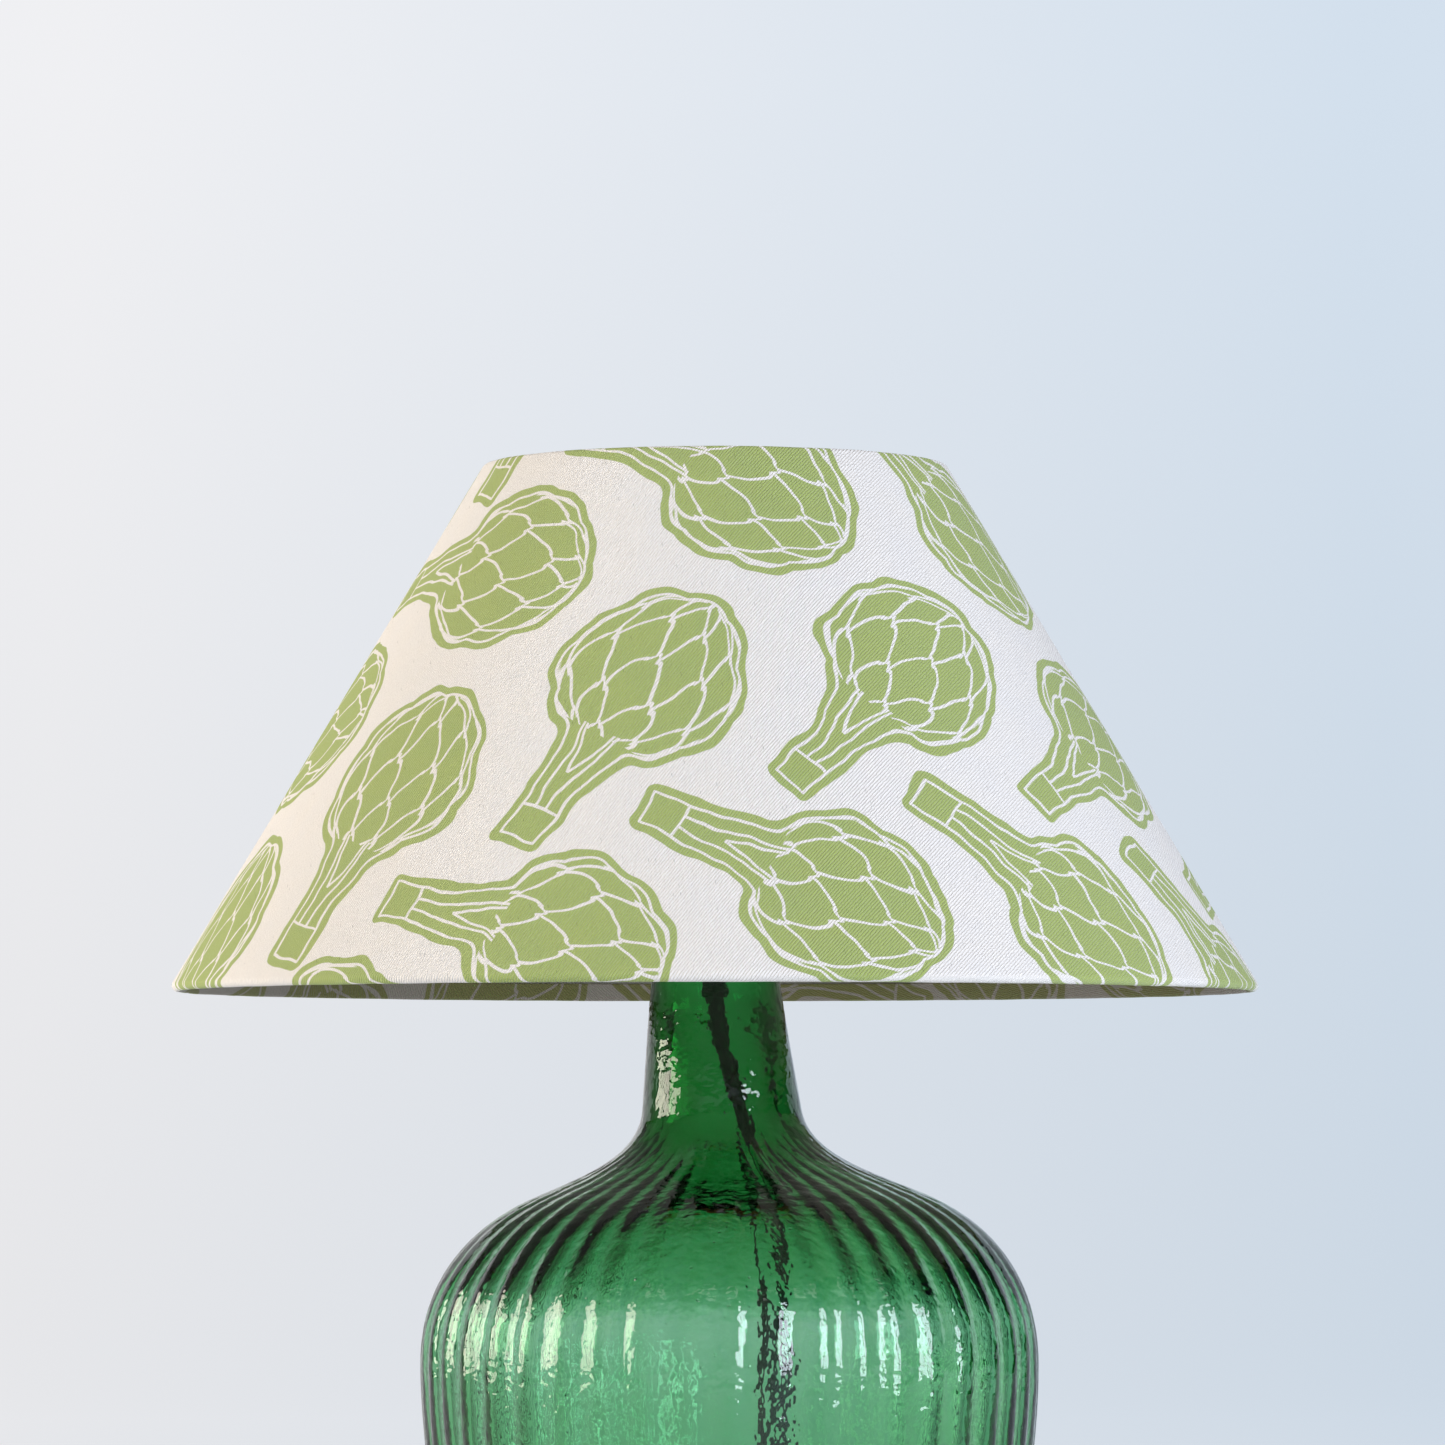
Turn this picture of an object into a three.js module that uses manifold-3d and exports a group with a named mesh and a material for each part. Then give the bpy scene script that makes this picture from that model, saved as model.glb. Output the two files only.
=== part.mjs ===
// A table lamp: a ribbed glass bottle with a brass lampholder on its neck, which carries a tapered cloth shade.
// Millimetres, +Z up, +Y to the back. The origin lies on the table, straight under the lampholder.
import * as THREE from "three";
import { mergeVertices } from "three/addons/utils/BufferGeometryUtils.js";
import Module from "manifold-3d";

const wasm = await Module();
wasm.setup();

// ---- Driving dimensions ----

const gap = 0.3; // clearance between pieces that touch
const runningGap = 0.4; // clearance round the switch key, which turns

const foot = { count: 4, radius: 5, height: 2, circleRadius: 84 };

const bottle = {
  standRadius: 92, // outer edge of the flat ring it stands on
  puntRadius: 74, // inner edge of that ring, where the base domes upwards
  puntHeight: 10,
  heelRadius: 106,
  heelHeight: 30,
  widestRadius: 128.2,
  widestHeight: 176,
  slopeRadius: 83.5, // half way up the shoulder, where it is least steep
  slopeHeight: 244.5,
  neckRootRadius: 33.2,
  neckRootHeight: 281,
  neckTopRadius: 23.8,
  lipRadius: 28.4,
  lipHeight: 14,
  mouthHeight: 372,
  mouthRadius: 19,
  wall: 4,
  floor: 6,
};
const rib = { count: 44, depth: 2.4, fadeIn: 20, fadeOut: 18 }; // the fades are heights, at the heel and the neck
const blown = { lean: 6, slump: 2.1 }; // how far the body stands to one side of the neck, and the shoulder tilts

const cordRadius = 3.5;
const cordHole = { height: 34, radius: 6.6, flange: 9.5, flangeThickness: 2, lip: 1 };

const tube = { radius: 5, bore: cordRadius + 0.4, belowMouth: 45, intoHolder: 8 };
const bung = { length: 24, grip: 0.35 };
const washer = { radius: 12, thickness: 1.5 };
const nut = { radius: 8.6, height: 4.5 };
const neckCap = { wall: 1.4, skirt: 7, dome: 3.2 };

const holder = {
  radius: 19,
  wall: 2.1,
  collarRadius: 9.5,
  capHeight: 24,
  skirtHeight: 36,
  insertHeight: 10,
  shellWall: 0.7,
  shellHeight: 22,
};
const shadeRing = { radius: 27, height: 4, above: 13.5 }; // the two nuts that clamp the carrier
const key = { shaftRadius: 2.2, reach: 12, knobAt: 22.5, knobLength: 13, knobHalfWidth: 6, knobThickness: 4 };
const leaf = { length: 9, width: 5, thickness: 0.7, rise: 2 };

const bulb = { length: 105, radius: 30, capRadius: 13.2, capHeight: 21, insulatorHeight: 3, glassWall: 1 };

const carrier = { ringRadius: 31, ringThickness: 1.6, wireRadius: 1.6, bow: 43, topRadius: 38 };

const shade = {
  rimHeight: 330, // table to the lower edge
  height: 219,
  bottomRadius: 225,
  topRadius: 97.5,
  ringWireRadius: 1.5,
  cloth: 0.6,
  liner: 0.5,
  hem: 7, // the cloth turned in behind each ring
  hubDrop: 28, // the hub hangs this far below the upper edge
  armWireRadius: 1.5,
  armCount: 3,
  sides: 60, // facets round the cloth and its two rings, which have to match
};

const lead = { straight: 10, bend: 42, drop: 94 }; // out of the hole, round to the left, and down over the drop
const coil = { x: -124, y: 112, innerTurn: 28.8, outerTurn: 51, layers: 2 }; // radii at the middle of the cord
const plug = { x: -182.6, y: 10, width: 48, length: 50, height: 21, corner: 9, turn: 172 };
const pins = { lineSpacing: 22.2, earthAway: 22.2, lineWidth: 6.35, earthWidth: 8, thick: 4, line: 17.7, earth: 22.7 };

// ---- Heights of the stack on the neck, from the bottle's mouth upwards ----

const bottleBase = foot.height + gap;
const tubeBase = bottle.mouthHeight - tube.belowMouth;
const capTop = bottle.mouthHeight + gap + neckCap.wall + neckCap.dome;
const holderBase = capTop + gap + nut.height + gap;
const skirtBase = holderBase + holder.capHeight + gap;
const insertTop = skirtBase + holder.insertHeight;
const contactHeight = insertTop + gap + leaf.rise + gap; // underside of the bulb's contact
const carrierBase = skirtBase + shadeRing.above + shadeRing.height + gap;
const hubHeight = shade.rimHeight + shade.height - shade.hubDrop;
const carrierTop = hubHeight - carrier.wireRadius - shade.armWireRadius - gap;
const keyHeight = skirtBase + holder.insertHeight / 2;

// ---- Colours ----

const paint = (color, roughness, metalness = 0, extra = {}) =>
  new THREE.MeshStandardMaterial({ color, roughness, metalness, ...extra });
const finish = {
  greenGlass: paint(0x2f7d4a, 0.05, 0, { transparent: true, opacity: 0.6 }),
  opalGlass: paint(0xf3f1ea, 0.25),
  brass: paint(0xb8954f, 0.3, 1),
  nickel: paint(0xb9b9b4, 0.3, 1),
  steel: paint(0xf0efe9, 0.45), // white epoxy coat
  porcelain: paint(0xf2efe6, 0.3),
  rubber: paint(0x1b1b1c, 0.7),
  braid: paint(0x17181a, 0.85),
  silicone: paint(0xd9dcdc, 0.4),
  plastic: paint(0x1a1a1b, 0.35),
  fuseRed: paint(0x9c2a25, 0.4),
  cloth: paint(0xd9dbc2, 0.9),
  liner: paint(0xe9e7e0, 0.5),
};

const lamp = new THREE.Group();

function add(name, geometry, material) {
  const mesh = new THREE.Mesh(geometry, material);
  mesh.name = name;
  lamp.add(mesh);
  return mesh;
}

// ---- Shapes ----

// A profile of [radius, height] pairs turned about the Z axis. It closes on itself, or ends on the axis.
function turned(profile, segments = 24) {
  const points = profile.map(([r, z]) => new THREE.Vector2(r, z));
  if (profile[0][0] > 0) points.push(points[0].clone());
  if (!THREE.ShapeUtils.isClockWise(points)) points.reverse();
  points.reverse();
  return new THREE.LatheGeometry(points, segments).rotateX(Math.PI / 2);
}

// A closed ring of round wire lying flat at a height.
function wireRing(radius, wireRadius, height, segments = 36) {
  return new THREE.TorusGeometry(radius, wireRadius, 5, segments).translate(0, 0, height);
}

// Round stock along a smooth line through the points.
function roundBar(points, radius, steps, sides = 8) {
  const section = new THREE.Shape(
    Array.from({ length: sides }, (_, i) => {
      const a = (2 * Math.PI * i) / sides;
      return new THREE.Vector2(radius * Math.cos(a), radius * Math.sin(a));
    }),
  );
  const extrudePath = new THREE.CatmullRomCurve3(points.map((p) => new THREE.Vector3(...p)));
  return new THREE.ExtrudeGeometry(section, { steps, extrudePath, bevelEnabled: false });
}

// A cylinder from one point to another.
function cylinder(from, to, radius, sides = 20) {
  const a = new THREE.Vector3(...from);
  const b = new THREE.Vector3(...to);
  const along = b.clone().sub(a);
  const geometry = new THREE.CylinderGeometry(radius, radius, along.length(), sides);
  const turn = new THREE.Quaternion().setFromUnitVectors(new THREE.Vector3(0, 1, 0), along.clone().normalize());
  return geometry.applyQuaternion(turn).translate(...a.add(b).divideScalar(2).toArray());
}

// A flat outline drawn in X and Y, standing from one height up to another.
function standing(shape, from, to, curveSegments = 5) {
  return new THREE.ExtrudeGeometry(shape, { depth: to - from, bevelEnabled: false, curveSegments }).translate(0, 0, from);
}

function roundedRectangle(width, length, corner) {
  const [x, y] = [width / 2, length / 2];
  const shape = new THREE.Shape();
  shape.moveTo(-x + corner, -y).lineTo(x - corner, -y).absarc(x - corner, -y + corner, corner, -Math.PI / 2, 0);
  shape.lineTo(x, y - corner).absarc(x - corner, y - corner, corner, 0, Math.PI / 2);
  shape.lineTo(-x + corner, y).absarc(-x + corner, y - corner, corner, Math.PI / 2, Math.PI);
  shape.lineTo(-x, -y + corner).absarc(-x + corner, -y + corner, corner, Math.PI, 1.5 * Math.PI);
  return shape;
}

function solid(geometry) {
  const bare = new THREE.BufferGeometry();
  bare.setAttribute("position", geometry.getAttribute("position").clone());
  if (geometry.index) bare.setIndex(geometry.index.clone());
  const merged = mergeVertices(bare, 1e-3);
  const vertProperties = merged.attributes.position.array;
  return new wasm.Manifold(new wasm.Mesh({ numProp: 3, vertProperties, triVerts: new Uint32Array(merged.index.array) }));
}

function geometryOf(manifold) {
  const mesh = manifold.getMesh();
  return new THREE.BufferGeometry()
    .setAttribute("position", new THREE.BufferAttribute(mesh.vertProperties, 3))
    .setIndex(new THREE.BufferAttribute(mesh.triVerts, 1));
}

function cut(geometry, ...tools) {
  return geometryOf(tools.reduce((left, tool) => left.subtract(solid(tool)), solid(geometry)));
}

function joined(...pieces) {
  return geometryOf(pieces.map(solid).reduce((all, piece) => all.add(piece)));
}

// ---- The bottle ----

const { smoothstep, degToRad } = THREE.MathUtils;

// Half of the bottle's outline, from the heel to the top of the neck, as a chain of curves.
function bottleOutline() {
  const b = bottle;
  const neckTopHeight = b.mouthHeight - b.lipHeight;
  return new THREE.Path()
    .moveTo(b.heelRadius, b.heelHeight)
    .bezierCurveTo(b.heelRadius + 8, b.heelHeight + 46, b.widestRadius, b.widestHeight - 46, b.widestRadius, b.widestHeight)
    .bezierCurveTo(
      b.widestRadius, b.widestHeight + 32, b.slopeRadius + 28.5, b.slopeHeight - 13, b.slopeRadius, b.slopeHeight)
    .bezierCurveTo(
      b.slopeRadius - 19.8, b.slopeHeight + 9, b.neckRootRadius + 2.4, b.neckRootHeight - 20,
      b.neckRootRadius, b.neckRootHeight)
    .lineTo(b.neckTopRadius, neckTopHeight);
}

// The outline moved inwards, at right angles to itself.
function movedIn(outline, distance) {
  return outline.map((point, i) => {
    const before = outline[Math.max(i - 1, 0)];
    const after = outline[Math.min(i + 1, outline.length - 1)];
    const along = after.clone().sub(before).normalize();
    return new THREE.Vector2(point.x - along.y * distance, point.y + along.x * distance);
  });
}

// Moves each point of the bottle as the glassblower left it: the ribs, the leaning neck and the tilted shoulder.
function asBlown(geometry, isRibbed) {
  const place = geometry.getAttribute("position");
  const point = new THREE.Vector3();
  for (let i = 0; i < place.count; i++) {
    point.fromBufferAttribute(place, i);
    const radius = Math.hypot(point.x, point.y);
    const ribs =
      smoothstep(point.z, bottleBase + 4, bottleBase + 4 + rib.fadeIn) *
      (1 - smoothstep(point.z, bottle.neckRootHeight - rib.fadeOut, bottle.neckRootHeight));
    if (isRibbed && radius > bottle.neckTopRadius && ribs > 0) {
      const hollow = (1 - Math.cos(rib.count * Math.atan2(point.y, point.x))) / 2;
      const shrink = (radius - rib.depth * ribs * hollow) / radius;
      point.x *= shrink;
      point.y *= shrink;
    }
    const shoulder =
      smoothstep(point.z, bottle.widestHeight + 14, bottle.slopeHeight) *
      (1 - smoothstep(point.z, bottle.slopeHeight + 18, bottle.neckRootHeight));
    point.z += (blown.slump * shoulder * point.x) / bottle.widestRadius;
    point.x += blown.lean * (1 - smoothstep(point.z, bottle.widestHeight + 30, bottle.mouthHeight - 20));
    place.setXYZ(i, point.x, point.y, point.z);
  }
  return geometry;
}

// The bottle's whole section: its outside, and the hollow that is taken out of it.
function bottleSections() {
  const b = bottle;
  const outline = bottleOutline();
  const neckTop = b.mouthHeight - b.lipHeight;
  const outside = [
    [0, bottleBase + b.puntHeight],
    [b.puntRadius * 0.6, bottleBase + b.puntHeight * 0.75],
    [b.puntRadius, bottleBase],
    [b.standRadius, bottleBase],
    [b.heelRadius - 4, bottleBase + 9],
    ...outline.getPoints(4).map((p) => [p.x, p.y]),
    [b.lipRadius, neckTop + 3],
    [b.lipRadius, b.mouthHeight - 3],
    [b.lipRadius - 3, b.mouthHeight],
    [0, b.mouthHeight],
  ];
  const inner = movedIn(outline.getPoints(3), b.wall).filter((p) => p.y > b.heelHeight && p.x > b.mouthRadius);
  const inside = [
    [0, bottleBase + b.puntHeight + b.floor],
    [b.puntRadius, bottleBase + b.floor + 3],
    [b.heelRadius - b.wall - 10, bottleBase + b.floor + 5],
    [b.heelRadius - b.wall - 2, b.heelHeight],
    ...inner.map((p) => [p.x, p.y]),
    [b.mouthRadius, neckTop],
    [b.mouthRadius, b.mouthHeight + 10],
    [0, b.mouthHeight + 10],
  ];
  return { outside, inside };
}

// The radius of a section at a height, on its way up.
function radiusAt(section, height) {
  const i = section.findIndex(([, z], n) => n > 0 && z >= height && section[n - 1][1] < height);
  const [[r0, z0], [r1, z1]] = [section[i - 1], section[i]];
  return r0 + ((r1 - r0) * (height - z0)) / (z1 - z0);
}

function bottleBody() {
  const { outside, inside } = bottleSections();
  const shell = asBlown(turned(outside, 2 * rib.count), true);
  const hollow = asBlown(turned(inside, rib.count), false);
  const reach = bottle.heelRadius / 2;
  const from = [blown.lean, bottle.heelRadius - reach, cordHole.height];
  const to = [blown.lean, bottle.heelRadius + reach, cordHole.height];
  return cut(shell, hollow, cylinder(from, to, cordHole.radius));
}

function bottleAndFeet() {
  add("bottle", bottleBody(), finish.greenGlass);
  for (let i = 0; i < foot.count; i++) {
    const a = (2 * Math.PI * (i + 0.5)) / foot.count;
    const profile = [[0, 0], [foot.radius - 1, 0], [foot.radius, 1], [foot.radius, foot.height], [0, foot.height]];
    const pad = add(`foot_${i + 1}`, turned(profile, 20), finish.silicone);
    pad.position.set(blown.lean + foot.circleRadius * Math.cos(a), foot.circleRadius * Math.sin(a), 0);
  }
}

// How far back the grommet's two flanges lie, each on its own side of the glass.
function grommetFaces() {
  const { outside, inside } = bottleSections();
  const low = cordHole.height - cordHole.radius - cordHole.lip;
  const innerWall = radiusAt(inside, low) * Math.cos(Math.PI / rib.count);
  return {
    outer: radiusAt(outside, cordHole.height + cordHole.flange) + gap,
    inner: Math.sqrt(innerWall ** 2 - (cordHole.radius + cordHole.lip) ** 2) - gap,
  };
}

// A rubber bush in the drilled hole: a sleeve with a flange on each side of the glass.
function cordGrommet() {
  const { outer, inner } = grommetFaces();
  const sleeve = cordHole.radius - gap;
  const bore = cordRadius + gap;
  const profile = [
    [bore, inner - cordHole.flangeThickness],
    [sleeve + cordHole.lip - 0.6, inner - cordHole.flangeThickness],
    [sleeve + cordHole.lip, inner],
    [sleeve, inner],
    [sleeve, outer],
    [cordHole.flange, outer],
    [cordHole.flange - 1, outer + cordHole.flangeThickness],
    [bore, outer + cordHole.flangeThickness],
  ];
  const mesh = add("cord_grommet", turned(profile, 20).rotateX(-Math.PI / 2), finish.rubber);
  mesh.position.set(blown.lean, 0, cordHole.height);
}

// ---- The fittings in and on the neck ----

function hexNut(name, base) {
  const outline = new THREE.Shape();
  for (let i = 0; i < 6; i++) {
    const a = degToRad(60 * i);
    outline[i ? "lineTo" : "moveTo"](nut.radius * Math.cos(a), nut.radius * Math.sin(a));
  }
  outline.holes.push(new THREE.Path().absarc(0, 0, tube.radius + gap, 0, 2 * Math.PI, true));
  add(name, standing(outline, base, base + nut.height, 8), finish.brass);
}

function neckFittings() {
  const bore = tube.radius + gap;
  const bungTop = bottle.mouthHeight - 1;
  const bungBase = bungTop - bung.length;
  const bungRadius = bottle.mouthRadius - bung.grip;
  add("neck_bung", turned([[bore, bungBase], [bungRadius - 1.5, bungBase], [bungRadius, bungTop - 8], [bungRadius, bungTop],
    [bore, bungTop]]), finish.rubber);
  const washerBase = bungBase - gap - washer.thickness;
  add("bung_washer", turned([[bore, washerBase], [washer.radius, washerBase], [washer.radius, washerBase + washer.thickness],
    [bore, washerBase + washer.thickness]]), finish.nickel);
  hexNut("bung_nut", washerBase - gap - nut.height);

  const tubeTop = holderBase + tube.intoHolder;
  add("threaded_tube", turned([[tube.bore, tubeBase], [tube.radius - 0.6, tubeBase], [tube.radius, tubeBase + 1],
    [tube.radius, tubeTop - 1], [tube.radius - 0.6, tubeTop], [tube.bore, tubeTop]]), finish.brass);

  const inner = bottle.lipRadius + gap;
  const outer = inner + neckCap.wall;
  const under = bottle.mouthHeight + gap;
  add("neck_cap", turned([[bore, under], [inner, under], [inner, under - neckCap.skirt], [outer, under - neckCap.skirt],
    [outer, under + neckCap.wall - 0.6], [outer - 2, under + neckCap.wall + 0.8], [14, capTop], [bore, capTop]], 32),
    finish.brass);
  hexNut("cap_nut", capTop + gap);
}

// ---- The switched lampholder ----

function lampholder() {
  const bore = tube.radius + gap;
  const { radius, wall, collarRadius, capHeight, skirtHeight } = holder;
  const inner = radius - wall;
  const h = holderBase;
  add("holder_cap", turned([[bore, h], [collarRadius, h], [collarRadius, h + 5], [radius - 4, h + 9.5], [radius, h + 15],
    [radius, h + capHeight], [inner, h + capHeight], [inner, h + 16], [inner - 4, h + 12], [bore, h + 9]], 28), finish.brass);

  const s = skirtBase;
  const keyBore = cylinder([key.reach - gap, 0, keyHeight], [radius + 8, 0, keyHeight], key.shaftRadius + runningGap, 16);
  const skirt = turned([[inner, s], [radius, s], [radius, s + skirtHeight], [inner, s + skirtHeight]], 28);
  add("holder_skirt", cut(skirt, keyBore), finish.brass);
  const insertRadius = inner - gap;
  const insert = turned([[0, s + gap], [insertRadius, s + gap], [insertRadius, insertTop], [0, insertTop]], 28);
  add("holder_insert", cut(insert, keyBore), finish.porcelain);

  const shellOuter = bulb.capRadius + gap + holder.shellWall;
  const shellBase = insertTop + gap;
  add("screw_shell", turned([[shellOuter - holder.shellWall, shellBase], [shellOuter, shellBase],
    [shellOuter, shellBase + holder.shellHeight], [shellOuter - holder.shellWall, shellBase + holder.shellHeight]], 28),
    finish.brass);

  const bend = new THREE.Shape()
    .moveTo(-leaf.length / 2, 0)
    .lineTo(leaf.length / 2 - 2, 0)
    .lineTo(leaf.length / 2, leaf.rise - leaf.thickness)
    .lineTo(leaf.length / 2, leaf.rise)
    .lineTo(leaf.length / 2 - 3, leaf.rise)
    .lineTo(leaf.length / 2 - 3.6, leaf.thickness)
    .lineTo(-leaf.length / 2, leaf.thickness);
  const strip = new THREE.ExtrudeGeometry(bend, { depth: leaf.width, bevelEnabled: false }).rotateX(Math.PI / 2);
  add("centre_contact", strip, finish.brass).position.set(0, leaf.width / 2, insertTop + gap);

  shadeClamp("shade_ring_lower", s + shadeRing.above);
  shadeClamp("shade_ring_upper", carrierBase + carrier.ringThickness + gap);
}

// A knurled ring that screws on the skirt and holds the carrier.
function shadeClamp(name, base) {
  const inner = holder.radius + gap;
  const { radius, height } = shadeRing;
  add(name, turned([[inner, base], [radius - 1, base], [radius, base + 1], [radius, base + height - 1],
    [radius - 1, base + height], [inner, base + height]], 32), finish.brass);
}

// The key turns the switch in the insert: a shaft along X with a flat knob outside the skirt.
function switchKey() {
  const shaft = cylinder([key.reach, 0, 0], [key.knobAt + 3, 0, 0], key.shaftRadius, 16);
  const outline = roundedRectangle(2 * key.knobHalfWidth, key.knobLength, 3.5);
  const knob = standing(outline, -key.knobThickness / 2, key.knobThickness / 2, 4);
  knob.rotateZ(Math.PI / 2).rotateX(Math.PI / 2).translate(key.knobAt + key.knobLength / 2, 0, 0);
  add("switch_key", joined(shaft, knob), finish.brass).position.set(0, 0, keyHeight);
}

// ---- The bulb ----

function lightBulb() {
  const c = contactHeight;
  add("bulb_contact", turned([[0, c], [4, c], [5, c + 1], [0, c + 1]], 20), finish.nickel);
  const insulatorBase = c + 1 + gap;
  const capBase = insulatorBase + bulb.insulatorHeight + gap;
  add("bulb_insulator", turned([[0, insulatorBase], [5.5, insulatorBase], [bulb.capRadius - 2, capBase - gap],
    [0, capBase - gap]], 24), finish.rubber);

  // the rolled thread, as rings
  const thread = [];
  const turns = 5;
  const pitch = (bulb.capHeight - 4) / turns;
  for (let i = 0; i < turns; i++) {
    thread.push([bulb.capRadius - 0.9, capBase + 2 + pitch * i], [bulb.capRadius, capBase + 2 + pitch * (i + 0.5)]);
  }
  const capTopHeight = capBase + bulb.capHeight;
  add("bulb_cap", turned([[0, capBase], [bulb.capRadius - 1.5, capBase], ...thread, [bulb.capRadius - 0.9, capTopHeight - 2],
    [bulb.capRadius - 0.4, capTopHeight], [0, capTopHeight]], 28), finish.nickel);

  // a pear-shaped envelope, open where it meets the cap
  const top = c + bulb.length;
  const centre = top - bulb.radius;
  const base = capTopHeight + gap;
  const neckRadius = bulb.capRadius - 1.4;
  const waist = degToRad(-32);
  const pear = [];
  const steps = 7;
  for (let i = 0; i <= steps; i++) {
    const a = waist + ((Math.PI / 2 - waist) * i) / steps;
    pear.push([bulb.radius * Math.cos(a), centre + bulb.radius * Math.sin(a)]);
  }
  pear[steps][0] = 0;
  const neckHeight = base + 0.45 * (pear[0][1] - base);
  const outside = [[neckRadius, base], [neckRadius + 2.6, neckHeight], ...pear];
  const scale = (bulb.radius - bulb.glassWall) / bulb.radius;
  const inside = pear.map(([r, z]) => [r * scale, centre + (z - centre) * scale]).reverse();
  inside.push([neckRadius + 2.6 - bulb.glassWall, neckHeight], [neckRadius - bulb.glassWall, base]);
  const shell = solid(turned([[0, base], ...outside], 24));
  const hollow = solid(turned([...inside, [0, base - 1]].reverse(), 24));
  const drop = solid(turned([[0, base - 2], [neckRadius - bulb.glassWall, base - 2], [neckRadius - bulb.glassWall, base + 0.2],
    [0, base + 0.2]], 24));
  add("bulb_glass", geometryOf(shell.subtract(hollow).subtract(drop)), finish.opalGlass);
}

// ---- The carrier that lifts the shade clear of the bulb ----

function shadeCarrier() {
  const { ringRadius, ringThickness, wireRadius, bow, topRadius } = carrier;
  const inner = holder.radius + gap;
  add("carrier_base", turned([[inner, carrierBase], [ringRadius, carrierBase], [ringRadius, carrierBase + ringThickness],
    [inner, carrierBase + ringThickness]], 36), finish.brass);
  add("carrier_top_ring", wireRing(topRadius, wireRadius, carrierTop), finish.brass);
  const from = carrierBase + ringThickness + gap;
  const to = carrierTop - wireRadius - gap;
  const rise = to - from;
  for (const [side, name] of [[-1, "carrier_wire_left"], [1, "carrier_wire_right"]]) {
    const start = ringRadius - wireRadius;
    const wire = [[start, 0], [start, 0.06], [start + 4, 0.2], [bow - 2, 0.45], [bow, 0.66], [topRadius + 2, 0.88],
      [topRadius, 0.97], [topRadius, 1]].map(([x, share]) => [side * x, 0, from + rise * share]);
    add(name, roundBar(wire, wireRadius, 14), finish.brass);
  }
}

// ---- The shade ----

// Where the two wire rings lie, and the directions along and out of the cloth between them.
function shadeLines() {
  const roll = shade.ringWireRadius + gap + shade.cloth;
  const bottom = new THREE.Vector2(shade.bottomRadius - roll, shade.rimHeight + roll);
  const top = new THREE.Vector2(shade.topRadius - roll, shade.rimHeight + shade.height - roll);
  const up = top.clone().sub(bottom).normalize();
  return { bottom, top, up, out: new THREE.Vector2(up.y, -up.x), roll };
}

// The cloth's section at a distance from the rings: a hem, the turn round the lower ring, the cone, and back.
function clothLine(distance) {
  const { bottom, top, up, out } = shadeLines();
  const at = (centre, along, outwards) => {
    const p = centre.clone().addScaledVector(up, along).addScaledVector(out, outwards);
    return [p.x, p.y];
  };
  const turn = (centre, way) =>
    [-90, -30, 30, 90].map((a) => at(centre, way * distance * Math.cos(degToRad(a)), distance * Math.sin(degToRad(a))));
  return [
    at(bottom, shade.hem, -distance),
    ...turn(bottom, -1),
    ...turn(top, 1).reverse(),
    at(top, -shade.hem, -distance),
  ];
}

function shadeCloth() {
  const { top, bottom, up, out, roll } = shadeLines();
  const cloth = turned([...clothLine(roll), ...clothLine(roll - shade.cloth).reverse()], shade.sides);
  const slots = armAngles().map((a) => {
    const wide = 2 * (shade.armWireRadius + gap);
    const slot = new THREE.BoxGeometry(2 * roll + 2, wide, 2 * roll + 2 * shade.hem);
    return slot.translate(top.x - roll - 1, 0, top.y).rotateZ(a);
  });
  add("shade_cloth", cut(cloth, ...slots), finish.cloth);

  const outer = shade.ringWireRadius;
  const clear = roll + 0.3;
  const corner = (centre, along, outwards) => {
    const p = centre.clone().addScaledVector(up, along).addScaledVector(out, outwards);
    return [p.x, p.y];
  };
  add("shade_liner", turned([corner(bottom, clear, outer - shade.liner), corner(bottom, clear, outer),
    corner(top, -clear, outer), corner(top, -clear, outer - shade.liner)], shade.sides), finish.liner);
}

function armAngles() {
  return Array.from({ length: shade.armCount }, (_, i) => Math.PI / 2 + (2 * Math.PI * i) / shade.armCount);
}

function shadeFrame() {
  const { bottom, top } = shadeLines();
  add("shade_bottom_ring", wireRing(bottom.x, shade.ringWireRadius, bottom.y, shade.sides), finish.steel);
  add("shade_top_ring", wireRing(top.x, shade.ringWireRadius, top.y, shade.sides), finish.steel);
  add("shade_hub_ring", wireRing(carrier.topRadius, shade.armWireRadius, hubHeight, 36), finish.steel);
  const from = carrier.topRadius + shade.armWireRadius + gap;
  const to = top.x - shade.ringWireRadius - gap;
  armAngles().forEach((a, i) => {
    const arm = cylinder([from, 0, hubHeight], [to, 0, top.y], shade.armWireRadius, 8).rotateZ(a);
    add(`shade_arm_${i + 1}`, arm, finish.steel);
  });
}

// ---- The cord ----

// From the lampholder down through the tube, then in a slack curve to the hole at the back.
const innerRoute = [
  [0, 0, holderBase + 12], [0, 0, tubeBase + 33], [0, 0, tubeBase + 8], [0.3, 0.2, tubeBase - 5],
  [3, 2, tubeBase - 20], [9, 6, tubeBase - 39], [15, 11, tubeBase - 61], [19, 16, 243], [22, 24, 208], [24, 34, 168],
  [24, 45, 126], [20, 58, 86], [13.5, 71, 58], [8.5, 82, 42], [6.6, 88, 37],
];

// How far from the coil's middle a cord that runs past it at this distance has to end, to stop just short of it.
function besideCoil(away) {
  return Math.sqrt((coil.outerTurn + cordRadius + gap) ** 2 - (away - cordRadius) ** 2);
}

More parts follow.
